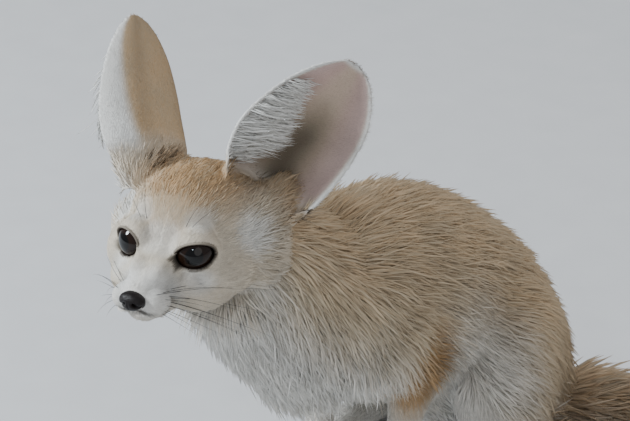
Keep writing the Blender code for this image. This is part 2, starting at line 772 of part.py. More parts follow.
def set_coats(nodes, skin):
    """The ruff of the cheeks, the coat of the neck and the bib, over the skin of the whole body."""
    dice = random.Random(7)
    for name, (count, length, width, thickness, rise, spacing) in COATS.items():
        own, others = tree_of(nodes[name]), others_of(nodes, name)
        blades, roots = [], []
        for root in scattered(nodes[name], name, count * 60, dice):
            if len(blades) == count:
                break
            if any((root - other).length < spacing * MM for other in roots):
                continue
            grow = dice.uniform(0.82, 1.18)
            sizes = (length * grow * MM, width * grow * MM, thickness * MM)
            rises = [rise * share * MM for share in COAT_RISES]
            lock = laid_clear(skin, root, lie_of_coat(name, root, dice), sizes, rises, own, others)
            if lock:
                blades.append(lock)
                roots.append(root)
        fuse(nodes[name], blades)


def tail_lock_places(core, dice):
    """Rings of places round the tail, each with the way to the tip and a size that falls with the width."""
    rows = tail_line()
    last = len(rows) - 1
    widest = max(row[2] for row in rows)
    for ring in range(TAIL_RINGS):
        at = (ring + 0.35) / TAIL_RINGS * last
        k = int(at)
        row = rows[k].lerp(rows[min(k + 1, last)], at - k)
        ahead, side = tail_ways(rows, k)
        for j in range(TAIL_ROUND):
            share = (j + 0.5 * (ring % 2)) / (TAIL_ROUND - 0.5)
            angle = math.pi * (TAIL_ARC[0] + (TAIL_ARC[1] - TAIL_ARC[0]) * share)
            out = side * math.cos(angle) + Vector((0, 0, math.sin(angle)))
            middle = Vector((row[0], row[1], row[3] * TAIL_SINK))
            root = core.ray_cast(middle + out * 3 * widest, -out)[0]
            if root:
                grow = dice.uniform(0.85, 1.15) * (0.55 + 0.45 * row[2] / widest)
                yield root, ahead + side * dice.uniform(-0.15, 0.15), grow


def set_tail_coats(nodes):
    """Rings of long locks that run towards the tip of the tail."""
    length, width, thickness, rise = (size * MM for size in TAIL_LOCK)
    rest = tail_core()
    core = tree_of(rest)
    bpy.data.objects.remove(rest)
    blades = {"tail_base": [], "tail_middle": [], "tail_tip": []}
    trees = {name: (tree_of(nodes[name]), others_of(nodes, name)) for name in blades}
    for root, lie, grow in tail_lock_places(core, random.Random(11)):
        name = min(blades, key=lambda n: trees[n][0].find_nearest(root)[3])
        sizes = (length * grow, width * grow, thickness)
        lock = laid_clear(core, root, lie, sizes, [rise * share * grow for share in TAIL_RISES], *trees[name])
        if lock:
            blades[name].append(lock)
    for name, locks in blades.items():
        fuse(nodes[name], locks)


def ear_lock_line(frame, row, length, height, dice):
    """The spine of a tuft that springs from the ear's front edge and sweeps down over the hollow."""
    _, _, along, across, out = frame
    root, near = (ear_skin(frame, row, EAR_LOCK_ROOT, depth * MM) for depth in (0.8, -2))
    fall = EAR_DROOP[0] + (EAR_DROOP[1] - EAR_DROOP[0]) * height + dice.uniform(-0.1, 0.1)
    middle = near + (across * 0.42 + out * 0.3 - along * fall * 0.25) * length
    tip = near + (across * dice.uniform(0.75, 0.95) + out * dice.uniform(0.1, 0.35) - along * fall) * length
    return [HEAD @ p for p in (root, near, middle, tip)]


def set_ear_tufts(nodes):
    """Long tufts from the front edge of each ear, over its hollow."""
    length, width, thickness = EAR_LOCK
    dice = random.Random(3)
    for name, placing in EARS.items():
        frame = ear_frame(*placing)
        up = HEAD.to_3x3() @ (frame[4] * 0.8 + frame[2] * 0.2)
        own, others = tree_of(nodes[name]), others_of(nodes, name)
        rows = smooth_run(EAR_SHAPE, 8)
        blades = []
        for i in range(EAR_LOCKS):
            height = i / (EAR_LOCKS - 1)
            share = EAR_LOCK_ROWS[0] + (EAR_LOCK_ROWS[1] - EAR_LOCK_ROWS[0]) * height
            row = min(rows, key=lambda r: abs(r[0] - share))
            grow = dice.uniform(0.85, 1.15) * (1.1 - 0.5 * share) * MM
            spine = ear_lock_line(frame, row, length * grow, height, dice)
            lock = blade(spine, [up] * 3, width * grow, thickness * MM, own, others, 0.1 * MM)
            if lock:
                blades.append(lock)
        fuse(nodes[name], blades)


def tail_line(steps=3):
    """Rows of the tail from root to tip: x, y, half width, half height, all in metres."""
    return [row * MM for row in smooth_run(TAIL, steps)]


def tail_ways(rows, k):
    """The ways to the tip and to the outer side of the tail at one of its rows."""
    ahead = rows[min(k + 1, len(rows) - 1)] - rows[max(k - 1, 0)]
    ahead = Vector((ahead[0], ahead[1], 0)).normalized()
    return ahead, Vector((ahead.y, -ahead.x, 0))


def tail_core(count=16):
    """The tail as one round run on the floor."""
    rows = tail_line()
    rings = []
    for i, row in enumerate(rows):
        side = tail_ways(rows, i)[1]
        centre = Vector((row[0], row[1], row[3] * TAIL_SINK))
        rings.append(round_section(centre, side, Vector((0, 0, 1)), row[2], row[3], count))
    bm = bmesh.new()
    ends = [sum(ring, Vector()) / count for ring in (rings[0], rings[-1])]
    way = (ends[1] - sum(rings[-2], Vector()) / count).normalized()
    add_rings(bm, rings, (ends[0], ends[1] + way * rows[-1][2]))
    tail = closed_object("tail_core", bm)
    return combine(tail, region(FLOOR_CUT, HERE, 1, 0), "INTERSECT")


def set_tail(torso, others):
    """The tail in three lengths, clear of the torso and the legs."""
    rest = tail_core()
    for other in (torso, *others):
        combine(rest, grown(other, GAP), "DIFFERENCE")
    keep_largest(rest)
    rows = tail_line()
    nodes = {}
    for name, share in zip(("tail_base", "tail_middle"), TAIL_CUTS):
        k = round(share * (len(rows) - 1))
        rest.name = "rest"
        nodes[name] = part_off(rest, name, [(rows[k].xyz / MM, tail_ways(rows, k)[0])])
    rest.name = "tail_tip"
    nodes["tail_tip"] = rest
    return nodes


def add_claws(paw, front, mirror):
    """Four short curved claws, fused to the tips of the toes."""
    radius, length = CLAW
    for offset in TOE_SPREAD:
        x = front[0] * mirror + offset
        y = front[1] + abs(offset) * 0.35 - TOE_SIZE[1]
        path = [(x, y + 3, 8.5), (x, y - 0.5, 8), (x, y - length * 0.6, 5), (x, y - length * 0.85, 1.4)]
        sizes = (radius, radius, radius * 0.75, 0.15)
        rings = [
            round_section(Vector(p) * MM, Vector((1, 0, 0)), Vector((0, -0.6, 0.8)), s * MM, s * 1.3 * MM, 5)
            for p, s in zip(path, sizes)
        ]
        bm = bmesh.new()
        add_rings(bm, rings, (Vector(path[0]) * MM, Vector(path[-1]) * MM))
        combine(paw, closed_object("claw", bm), "UNION")
    return keep_largest(paw)


def finish(nodes):
    """Moves all to where the middle of their floor print is the origin, and gives each its own material."""
    corners = [v.co for node in nodes.values() for v in node.data.vertices]
    middle = [(max(c[i] for c in corners) + min(c[i] for c in corners)) / 2 for i in (0, 1)]
    shift = Matrix.Translation((-middle[0], -middle[1], 0))
    for name, node in nodes.items():
        node.data.transform(shift)
        node.data.materials.clear()
        material = bpy.data.materials.new(name)
        material.use_nodes = True
        shader = material.node_tree.nodes["Principled BSDF"]
        shader.inputs["Base Color"].default_value = (*COLOURS[name], 1)
        wet = name.startswith("eye") or name == "nose"
        shader.inputs["Roughness"].default_value = (0.3 if name == "nose" else 0.05) if wet else 0.85
        node.data.materials.append(material)
        for polygon in node.data.polygons:
            polygon.use_smooth = True


def main():
    for obj in list(bpy.data.objects):
        bpy.data.objects.remove(obj)
    whole = melted("whole")
    skin = tree_of(whole)
    nodes = part_body(whole)
    head = nodes["head"]
    nodes["nose"] = set_nose(head)
    set_mouth(head)
    nodes.update(set_eyes(head))
    nodes.update(set_ears(head, nodes["neck"]))
    legs = [nodes[n] for n in ("hindleg_left", "hindpaw_left")]
    nodes.update(set_tail(nodes["torso"], legs))
    for side, mirror in (("left", 1), ("right", -1)):
        add_claws(nodes[f"forepaw_{side}"], FORE_TOES, mirror)
        add_claws(nodes[f"hindpaw_{side}"], HIND_TOES, mirror)
    set_coats(nodes, skin)
    set_tail_coats(nodes)
    set_ear_tufts(nodes)
    finish(nodes)


main()
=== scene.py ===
# %% [markdown]
# # A fennec fox in its coat
# The solids of this fox are plain: melted forms and coarse locks that reach as far as its coat does.
# Here one skin takes their place, a few millimetres deeper, and a coat of many thin tufts grows on it.
# Everything is measured in metres, +Z is up, the trunk faces -Y and +X is the animal's left.

# %% Tools, the frame and the box of the solids
import json
import math
import random

import bmesh
import bpy
import numpy as np
from mathutils import Matrix, Vector
from mathutils.bvhtree import BVHTree

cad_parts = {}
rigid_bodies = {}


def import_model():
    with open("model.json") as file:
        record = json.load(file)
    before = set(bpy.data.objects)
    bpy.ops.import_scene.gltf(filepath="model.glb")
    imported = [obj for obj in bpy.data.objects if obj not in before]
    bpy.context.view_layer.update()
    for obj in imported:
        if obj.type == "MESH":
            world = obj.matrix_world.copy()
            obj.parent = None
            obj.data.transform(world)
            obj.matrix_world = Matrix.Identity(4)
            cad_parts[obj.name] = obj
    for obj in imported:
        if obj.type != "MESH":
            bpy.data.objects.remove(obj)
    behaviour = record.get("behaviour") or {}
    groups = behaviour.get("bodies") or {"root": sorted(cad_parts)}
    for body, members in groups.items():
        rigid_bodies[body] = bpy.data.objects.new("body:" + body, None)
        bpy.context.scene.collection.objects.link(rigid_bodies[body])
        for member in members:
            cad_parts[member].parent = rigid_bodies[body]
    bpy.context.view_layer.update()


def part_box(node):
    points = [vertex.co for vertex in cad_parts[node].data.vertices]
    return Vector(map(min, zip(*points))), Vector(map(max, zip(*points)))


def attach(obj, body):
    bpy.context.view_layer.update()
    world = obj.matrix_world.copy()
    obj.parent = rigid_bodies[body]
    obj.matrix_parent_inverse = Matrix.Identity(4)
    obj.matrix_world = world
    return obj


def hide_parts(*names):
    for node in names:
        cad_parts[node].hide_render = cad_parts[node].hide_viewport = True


MM = 0.001
for leftover in list(bpy.data.objects):
    bpy.data.objects.remove(leftover)
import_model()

# %% [markdown]
# ## Where the head is
# The head has a frame of its own, with its zero midway between the eyes, so that the face can be described
# as if it looked straight ahead. The place of the left eye among the solids tells how far the whole animal
# was moved when its floor print was centred, and this shift goes into both frames.

# %% The two frames of the animal
EYE_RADIUS = 11.6 * MM
EYE_PLACE = (16.8, 8, 0)
EYE_LOOK = (0.44, -0.89, 0.08)
head_pose = (
    Matrix.Translation(Vector((6, -124, 232)) * MM)
    @ Matrix.Rotation(math.radians(18.5), 4, "Z")
    @ Matrix.Rotation(math.radians(-2), 4, "X")
    @ Matrix.Rotation(math.radians(-1), 4, "Y")
)
eye_low, eye_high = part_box("eye_left")
SHIFT = (eye_low + eye_high) / 2 - head_pose @ (Vector(EYE_PLACE) * MM)
BODY = Matrix.Translation(SHIFT)
HEAD = BODY @ head_pose
print("shift in mm:", [round(x / MM, 2) for x in SHIFT])


def in_frame(points, matrix):
    """An array of points, in millimetres in the given frame."""
    inverse = np.array(matrix.inverted())
    return (points @ inverse[:3, :3].T + inverse[:3, 3]) / MM


# %% [markdown]
# ## The forms under the skin
# A body can be sculpted by hand, pulled from a cage, or melted together from plain forms. The forms are
# chosen here, because each one is a few numbers with a meaning, such as the half width of a cheek, and the
# same numbers gave the solids. Limbs are runs: round sections that follow a smooth line.

# %% Sizes of the forms, in millimetres
HEAD_BALLS = [
    ((0, 44, 3), (37, 40, 31)),
    ((0, 24, 2.5), (28, 24, 18)),
    ((25, 28, -12), (19, 27, 19)),
    ((31, 44, -12), (20, 22, 21)),
    ((17, 16, -22), (19, 25, 14)),
    ((8.5, -21, -19.5), (8.5, 9, 8)),
    ((14, 3, -16), (12.5, 15, 9.5)),
    ((8.5, -2, -6), (6.5, 9.5, 7.5)),
    ((6, -5, -7.5), (7, 14, 8)),
    (EYE_PLACE, (13, 13, 13)),
]
MUZZLE = [(0, 14, -6, 21, 15), (0, -5, -10, 13, 11.3), (0, -17, -14.2, 11.2, 8.8), (0, -28, -17.3, 8.2, 6.8)]
JAW = [(0, 25, -28, 18, 9), (0, 1, -27.5, 13, 7.5), (0, -14, -28, 10, 5.5), (0, -23.5, -28.5, 7.5, 3.8)]
EAR_ROOT = [(24, 46, 1, 18, 18), (32, 60, 6, 17, 15), (38, 74, 16, 10, 10)]
NECK = [(5, -65, 208, 31, 34), (3, -41, 181, 38, 43), (0, -12, 156, 45, 50)]
TRUNK = [
    (0, -22, 154, 44, 46),
    (0, 14, 150, 52, 57),
    (0, 54, 142, 57, 64),
    (0, 94, 115, 61, 66),
    (0, 130, 79, 62, 61),
    (0, 158, 46, 56, 46),
]
BREAST = ((0, -8, 132), (35, 38, 37))
FORELEG = [
    (34, 12, 152, 23, 38),
    (37, 32, 130, 22, 31),
    (37, 44, 106, 17, 20),
    (34, 40, 76, 12.5, 13.5),
    (31, 33, 44, 10.5, 11),
    (30, 27, 22, 11, 11.5),
    (30, 19, 9, 13, 10),
]
THIGH = [(36, 128, 106, 28, 46), (54, 108, 92, 30, 48), (64, 88, 80, 28, 40), (70, 74, 66, 21, 27)]
SHANK = [(70, 77, 64, 19, 24), (67, 104, 46, 18, 22), (63, 140, 25, 13, 16), (62, 153, 15, 12, 12)]
HIND_FOOT = [(62, 157, 14, 12, 12), (63, 126, 12, 12, 11), (65, 95, 10, 12, 10), (66, 72, 9, 14, 9.5)]
TOE_SIZE, TOE_SPREAD = (5.2, 11, 7), (-10.5, -3.7, 3.7, 10.5)
FORE_TOES, HIND_TOES = (30, 7, 6), (66, 60, 6)
TAIL = [
    (6, 172, 14, 15),
    (30, 202, 16, 16),
    (74, 212, 19, 18),
    (116, 186, 21, 19),
    (132, 134, 20, 18),
    (126, 84, 17, 15),
    (108, 46, 11, 10),
    (99, 32, 5, 5),
]
TAIL_SINK = 0.94


# %% Smooth lines, balls and runs
def smooth_run(points, steps):
    """A smooth line of number rows through the given rows, with steps between each two."""
    rows = [Vector(p) for p in points]
    ends = [2 * rows[0] - rows[1], *rows, 2 * rows[-1] - rows[-2]]
    line = []
    for a, b, c, d in zip(ends, ends[1:], ends[2:], ends[3:]):
        for i in range(steps):
            t = i / steps
            bend = (2 * a - 5 * b + 4 * c - d) * t**2 + (3 * b - a - 3 * c + d) * t**3
            line.append(0.5 * (2 * b + (c - a) * t + bend))
    line.append(rows[-1])
    return line


def scene_object(name, bm):
    """An object of the scene that takes over this mesh, with its faces pointing outwards."""
    bmesh.ops.recalc_face_normals(bm, faces=bm.faces)
    mesh = bpy.data.meshes.new(name)
    bm.to_mesh(mesh)
    bm.free()
    obj = bpy.data.objects.new(name, mesh)
    bpy.context.scene.collection.objects.link(obj)
    return obj


def add_ball(bm, place, half_sizes, matrix, fineness=4):
    """An ellipsoid; place and half sizes in millimetres."""
    size = Matrix.Diagonal((*(s * MM for s in half_sizes), 1))
    place = Matrix.Translation(Vector(place) * MM)
    bmesh.ops.create_icosphere(bm, subdivisions=fineness, radius=1, matrix=matrix @ place @ size)


def add_rings(bm, rings, poles):
    """A closed tube through rings of points, with a pole at each end."""
    loops = [[bm.verts.new(p) for p in ring] for ring in rings]
    for low, high in zip(loops, loops[1:]):
        for i, corner in enumerate(low):
            j = (i + 1) % len(low)
            bm.faces.new((corner, low[j], high[j], high[i]))
    for loop, pole in ((loops[0], poles[0]), (loops[-1], poles[1])):
        tip = bm.verts.new(pole)
        for i, corner in enumerate(loop):
            bm.faces.new((corner, loop[(i + 1) % len(loop)], tip))


def ring_of(centre, side, up, half_width, half_height, count):
    angles = [math.tau * i / count for i in range(count)]
    return [centre + side * half_width * math.cos(a) + up * half_height * math.sin(a) for a in angles]


def add_run(bm, stations, upward, matrix, mirror=1, steps=8, count=32):
    """A round-ended limb through stations of x, y, z, half width and half depth."""
    line = smooth_run([(s[0] * mirror, *s[1:]) for s in stations], steps)
    centres = [Vector(s[:3]) * MM for s in line]
    rings = []
    for i, station in enumerate(line):
        along = (centres[min(i + 1, len(line) - 1)] - centres[max(i - 1, 0)]).normalized()
        side = along.cross(upward).normalized()
        ring = ring_of(centres[i], side, side.cross(along), station[3] * MM, station[4] * MM, count)
        rings.append([matrix @ p for p in ring])
    reach = [0.7 * min(line[i][3:]) * MM for i in (0, -1)]
    first, last = (centres[1] - centres[0]).normalized(), (centres[-1] - centres[-2]).normalized()
    add_rings(bm, rings, (matrix @ (centres[0] - first * reach[0]), matrix @ (centres[-1] + last * reach[1])))


# %% [markdown]
# ## The ears
# An ear is a thin cup. Its wall could be a solidified sheet, but a fox's ear changes its width and its curl
# all the way up, so the wall is drawn as arcs: each row has a half width, a sideways bulge and half the angle
# that the cup wraps. The same arcs later tell where the rim, the hollow and the back of the ear are.

# %% The arcs of an ear
EARS = {
    "left": ((38, 50, 20), (67, 97, 85), (0.62, -0.74, 0.25)),
    "right": ((-41, 52, 20), (-71, 98, 89), (-0.88, 0.29, 0.1)),
}
EAR_SHAPE = [
    (-0.2, 16, 0, 104),
    (0.0, 23, -1, 94),
    (0.12, 28, -2.5, 82),
    (0.3, 31, -2.5, 68),
    (0.5, 30, -0.5, 58),
    (0.7, 25.5, 1.5, 50),
    (0.85, 18.5, 2.5, 44),
    (0.95, 10.5, 2.5, 38),
    (1.0, 3, 1, 30),
]
EAR_WALL = 2.2


def ear_frame(side):
    """The ear's foot, length, and its axes: along it, across it to the back edge, and out of its opening."""
    foot, tip, facing = EARS[side]
    foot, tip = Vector(foot), Vector(tip)
    along = (tip - foot).normalized()
    out = Vector(facing)
    out = (out - along * out.dot(along)).normalized()
    across = out.cross(along) * -math.copysign(1, foot.x)
    return foot, (tip - foot).length, along, across, out


def ear_point(ear, row, v, depth):
    """A point of the ear's wall in the head's millimetres: v is -1 at the front edge and 1 at the back edge."""
    foot, length, along, across, out = ear
    share, half_width, bulge, half_turn = row
    turn = math.radians(half_turn)
    toward = across * math.sin(v * turn) - out * math.cos(v * turn)
    centre = foot + along * share * length + across * bulge + out * half_width / math.tan(turn)
    return centre + toward * (half_width / math.sin(turn) + depth)


def add_ear(bm, side, steps=6, columns=24):
    """The closed wall of one ear."""
    ear = ear_frame(side)
    rows = smooth_run(EAR_SHAPE, steps)
    edge = [-1 + 2 * i / columns for i in range(columns + 1)]

    def layer(depth):
        return [[bm.verts.new(HEAD @ (ear_point(ear, row, v, depth) * MM)) for v in edge] for row in rows]

    inner, outer = layer(0.2), layer(0.2 + EAR_WALL)
    last = len(rows) - 1
    for i in range(last):
        for j in range(columns):
            for face in (inner, outer):
                bm.faces.new((face[i][j], face[i][j + 1], face[i + 1][j + 1], face[i + 1][j]))
        for j in (0, columns):
            bm.faces.new((inner[i][j], inner[i + 1][j], outer[i + 1][j], outer[i][j]))
    for j in range(columns):
        for i in (0, last):
            bm.faces.new((inner[i][j], inner[i][j + 1], outer[i][j + 1], outer[i][j]))


# %% [markdown]
# ## One skin
# Voxel remeshing melts overlapping forms into one closed surface, which hides every seam between them. The
# grid is fine, because the face needs it. Then the trunk is smoothed and thinned out, where nothing small
# would be lost, and the face and ears keep the full grid.

# %% Melt the forms into one skin
GRAIN = 1.3 * MM
LEVEL, UPRIGHT = Vector((0, 0, 1)), Vector((0, 1, 0))


def lay_forms(bm):
    """Every form of the animal, ears and tail included."""
    for place, half_sizes in HEAD_BALLS:
        for mirror in (1, -1) if place[0] else (1,):
            add_ball(bm, (place[0] * mirror, *place[1:]), half_sizes, HEAD)
    add_run(bm, MUZZLE, LEVEL, HEAD)
    add_run(bm, JAW, LEVEL, HEAD)
    add_run(bm, NECK, LEVEL, BODY)
    add_run(bm, TRUNK, LEVEL, BODY)
    add_ball(bm, *BREAST, BODY)
    for mirror in (1, -1):
        add_run(bm, EAR_ROOT, UPRIGHT, HEAD, mirror)
        add_run(bm, FORELEG, UPRIGHT, BODY, mirror)
        for run in (THIGH, SHANK, HIND_FOOT):
            add_run(bm, run, LEVEL, BODY, mirror)
        for x, y, z in (FORE_TOES, HIND_TOES):
            for offset in TOE_SPREAD:
                add_ball(bm, (x * mirror + offset, y + abs(offset) * 0.35, z), TOE_SIZE, BODY)
    add_run(bm, [(x, y, h * TAIL_SINK, w, h) for x, y, w, h in TAIL], LEVEL, BODY)
    for side in EARS:
        add_ear(bm, side)


def points_of(mesh):
    flat = np.empty(len(mesh.vertices) * 3, np.float32)
    mesh.vertices.foreach_get("co", flat)
    return flat.reshape(-1, 3).astype(float)


def ramp(values, low, high):
    """0 below low and 1 above high, with a soft rise between."""
    share = np.clip((values - low) / (high - low), 0, 1)
    return share * share * (3 - 2 * share)


def apply_modifiers(obj):
    """Makes the evaluated shape the object's own mesh."""
    graph = bpy.context.evaluated_depsgraph_get()
    mesh = bpy.data.meshes.new_from_object(obj.evaluated_get(graph))
    obj.modifiers.clear()
    old, obj.data = obj.data, mesh
    bpy.data.meshes.remove(old)
    mesh.name = obj.name
    return obj


EAR_ROWS = np.array(smooth_run(EAR_SHAPE, 8))


def ear_places(side, head_points):
    """For points in the head's millimetres: share of the ear's length, v, distance off the arc, nearness."""
    foot, length, along, across, out = ear_frame(side)
    rel = head_points - np.array(foot)
    share = rel @ np.array(along) / length
    half_width, bulge, half_turn = (np.interp(share, EAR_ROWS[:, 0], EAR_ROWS[:, i]) for i in (1, 2, 3))
    turn = np.radians(half_turn)
    x = rel @ np.array(across) - bulge
    y = rel @ np.array(out) - half_width / np.tan(turn)
    off = np.hypot(x, y) - half_width / np.sin(turn)
    v = np.arctan2(x, -y) / turn
    near = ramp(share, -0.04, 0.1) * (1 - ramp(share, 1.03, 1.08))
    near *= (1 - ramp(np.abs(off - 1.2), 4, 6)) * (1 - ramp(np.abs(v), 1.1, 1.25))
    return share, v, off, near


def softness(points):
    """Where the skin may be smoothed: not on the face, the ears and the paws, fully on the trunk."""
    face = in_frame(points, HEAD)
    far = np.linalg.norm(face - (0, 10, -5), axis=1)
    soft = np.minimum(np.clip((far - 52) / 26, 0, 1), np.clip((points[:, 2] / MM - 22) / 23, 0, 1))
    for side in EARS:
        soft *= 1 - ear_places(side, face)[3]
    return soft


def add_group(obj, name, weights):
    group = obj.vertex_groups.new(name=name)
    for i, weight in enumerate(weights):
        group.add([i], float(weight), "REPLACE")


def melt():
    """The forms as one skin, smoothed, and thinned where nothing fine follows."""
    bm = bmesh.new()
    lay_forms(bm)
    skin = scene_object("skin", bm)
    remesh = skin.modifiers.new("melt", "REMESH")
    remesh.mode, remesh.voxel_size = "VOXEL", GRAIN
    apply_modifiers(skin)
    points = points_of(skin.data)
    soft = softness(points)
    face = in_frame(points, HEAD)
    firm = 1 - 0.93 * np.maximum(*(ear_places(side, face)[3] for side in EARS))
    far = np.linalg.norm(face - (0, 10, -5), axis=1) > 50
    for name, weights in (("soft", soft), ("firm", firm), ("plain", far & (firm > 0.9))):
        add_group(skin, name, weights)
    for passes, limit in ((16, "firm"), (90, "soft")):
        smooth = skin.modifiers.new("smooth", "SMOOTH")
        smooth.factor, smooth.iterations, smooth.vertex_group = 0.5, passes, limit
    thin = skin.modifiers.new("thin", "DECIMATE")
    thin.vertex_group = "plain"
    thin.ratio = 0.38
    return apply_modifiers(skin)


skin = melt()
print("skin:", len(skin.data.vertices), "vertices,", len(skin.data.polygons), "faces")

# %% [markdown]
# ## Down to the skin
# The forms reach as far as the coat does, so the skin has to go deeper by as much as the coat stands over it:
# hardly at all on the ears, the face and the paws, and over half a centimetre on the trunk. Scaling the forms
# would move the limbs, so each vertex goes in along its own normal instead.

# %% Sink the skin under the coat
def tail_places(body):
    """For points in the body's millimetres: nearness to the tail, and the way to its tip."""
    rows = np.array(smooth_run(TAIL, 12))
    gaps = np.linalg.norm(body[:, None, :2] - rows[None, :, :2], axis=2)
    nearest = gaps.argmin(axis=1)
    ways = np.gradient(rows[:, :2], axis=0)
    ways /= np.linalg.norm(ways, axis=1)[:, None]
    near = (1 - ramp(gaps[np.arange(len(body)), nearest], rows[nearest, 2] + 1, rows[nearest, 2] + 5))
    near *= (1 - ramp(body[:, 2], 40, 46)) * ramp(nearest / len(rows), 0.04, 0.1)
    return near, np.column_stack([ways[nearest], np.zeros(len(body))]), nearest / len(rows)


def regions(points):
    """Soft shares of each vertex in the regions of the animal, and its places in the two frames."""
    body, face = in_frame(points, BODY), in_frame(points, HEAD)
    cut = (face - (0, 52, -8)) @ np.array((0, 0.78, -0.62))
    ears = {side: ear_places(side, face) for side in EARS}
    near_tail, tail_way, tail_share = tail_places(body)
    ear = np.maximum(ears["left"][3], ears["right"][3])
    head = ramp(-cut, -16, 14)
    foreleg = ramp(-body[:, 2], -122, -92) * (1 - ramp(body[:, 1], 56, 72)) * (1 - head)
    front = ramp(-body[:, 1], -42, -8) * ramp(body[:, 2], 86, 100) * (1 - head) * (1 - ear)
    low = 1 - ramp(body[:, 2], 20, 32)
    paw = low * (1 - near_tail) * (1 - ramp(body[:, 1], 120, 150))
    return {
        "body": body, "face": face, "ears": ears, "ear": ear, "head": head, "foreleg": foreleg,
        "front": front, "paw": paw, "low": low, "tail": near_tail, "tail_way": tail_way, "tail_share": tail_share,
    }


def blend(values, share, other):
    return values * (1 - share) + other * share


def coat_depth(part):
    """How far the skin lies under the forms, in millimetres."""
    depth = np.full(len(part["head"]), 6.5)
    on_face = np.interp(part["face"][:, 1], (-40, -20, 0, 20, 45, 60), (0.3, 0.3, 0.4, 0.7, 1.6, 2.5))
    for share, other in (
        ("foreleg", 2.2), ("front", 2.6), ("head", on_face), ("low", 1), ("tail", 4), ("ear", 0.2),
    ):
        depth = blend(depth, part[share], other)
    return depth


def normals_of(mesh):
    flat = np.empty(len(mesh.vertices) * 3, np.float32)
    mesh.vertex_normals.foreach_get("vector", flat)
    return flat.reshape(-1, 3).astype(float)


points = points_of(skin.data)
depth = coat_depth(regions(points))
points -= normals_of(skin.data) * depth[:, None] * MM
points[:, 2] = np.maximum(points[:, 2], 0.4 * MM)
for mirror in (1, -1):
    eye = np.array(HEAD @ (Vector((EYE_PLACE[0] * mirror, *EYE_PLACE[1:])) * MM))
    off = points - eye
    gap = np.linalg.norm(off, axis=1)
    least, soft = EYE_RADIUS + 0.9 * MM, 0.8 * MM
    pushed = least + soft * np.logaddexp(0, (gap - least) / soft)
    points = np.where((gap < 2 * EYE_RADIUS)[:, None], eye + off * (pushed / gap)[:, None], points)
skin.data.vertices.foreach_set("co", points.astype(np.float32).ravel())
skin.data.update()
print("skin sunk by", round(depth.min(), 1), "to", round(depth.max(), 1), "mm")

# %% [markdown]
# ## Lids, mouth, nostrils and the hollows of the ears
# These are the sharp forms of the head, and a voxel grid would round them off. So they come after it, as
# Booleans: two rolled lids and a rolled lip are fused on, and then the openings are cut in one go.

# %% Tubes along lines on the face
LIDS = {1: (58, 64, 35, 5), -1: (50, 62, 40, -14)}
MOUTH = [(0, -29.5, -24), (5, -27.5, -24.5), (9, -20, -24.5), (12.5, -9, -24), (16.5, 3, -21)]
NOSE_PLACE, NOSE_SIZE = (0, -30.5, -17), (7.4, 5.2, 5.3)


def tube(name, points, radius, count=8, closed=False):
    """A round tube through points; an open one tapers to its ends."""
    bm = bmesh.new()
    last = len(points) - 1
    rings = []
    for i, point in enumerate(points):
        before = points[i - 1] if i or closed else points[0]
        after = points[(i + 1) % len(points)] if i < last or closed else points[last]
        along = (after - before).normalized()
        side = along.cross(Vector((0.1, 0.2, 1))).normalized()
        size = radius * (1 if closed else min(1, 0.2 + 4 * min(i, last - i) / last))
        rings.append(ring_of(point, side, side.cross(along), size, size, count))
    if closed:
        loops = [[bm.verts.new(p) for p in ring] for ring in rings]
        for low, high in zip(loops, loops[1:] + loops[:1]):
            for i in range(count):
                j = (i + 1) % count
                bm.faces.new((low[i], low[j], high[j], high[i]))
    else:
        add_rings(bm, rings, (points[0], points[last]))
    return scene_object(name, bm)


def eye_frame(mirror):
    """The middle of an eye, its look, and its axes to the outer corner and up, in the head's frame."""
    place = Vector((EYE_PLACE[0] * mirror, *EYE_PLACE[1:])) * MM
    look = Vector((EYE_LOOK[0] * mirror, *EYE_LOOK[1:])).normalized()
    outer = look.cross(Vector((0, 0, -1))).normalized()
    if outer.x * mirror < 0:
        outer.negate()
    return place, look, outer, (Vector((0, 0, 1)) - look * look.z).normalized()


def lid_line(mirror, radius, widen=1.0, count=44):
    """The almond of the lids' edge, on a ball of this radius round the eye."""
    place, look, outer, up = eye_frame(mirror)
    to_nose, to_ear, height, tilt = (math.radians(a) for a in LIDS[mirror])
    points = []
    for i in range(count):
        t = math.tau * i / count
        across = (to_ear if math.cos(t) > 0 else to_nose) * widen * math.cos(t)
        rise = height * widen * (math.sin(t) - 0.06 * (1 - math.cos(t)))
        side = across * math.cos(tilt) - rise * math.sin(tilt)
        lift = across * math.sin(tilt) + rise * math.cos(tilt)
        way = Matrix.Rotation(math.hypot(side, lift), 3, look.cross(outer * side + up * lift)) @ look
        points.append(HEAD @ (place + way * radius))
    return points


def lid_opening(mirror):
    """A cone from the middle of the eye out through the almond."""
    place, look, _, _ = eye_frame(mirror)
    bm = bmesh.new()
    far = [bm.verts.new(p) for p in lid_line(mirror, EYE_RADIUS * 1.6, 0.97)]
    heart = bm.verts.new(HEAD @ place)
    front = bm.verts.new(HEAD @ (place + look * EYE_RADIUS * 1.9))
    for i, corner in enumerate(far):
        after = far[(i + 1) % len(far)]
        bm.faces.new((corner, after, heart))
        bm.faces.new((after, corner, front))
    return scene_object("opening", bm)


def ball(name, place, half_sizes, matrix, fineness=4):
    bm = bmesh.new()
    add_ball(bm, place, half_sizes, matrix, fineness)
    return scene_object(name, bm)


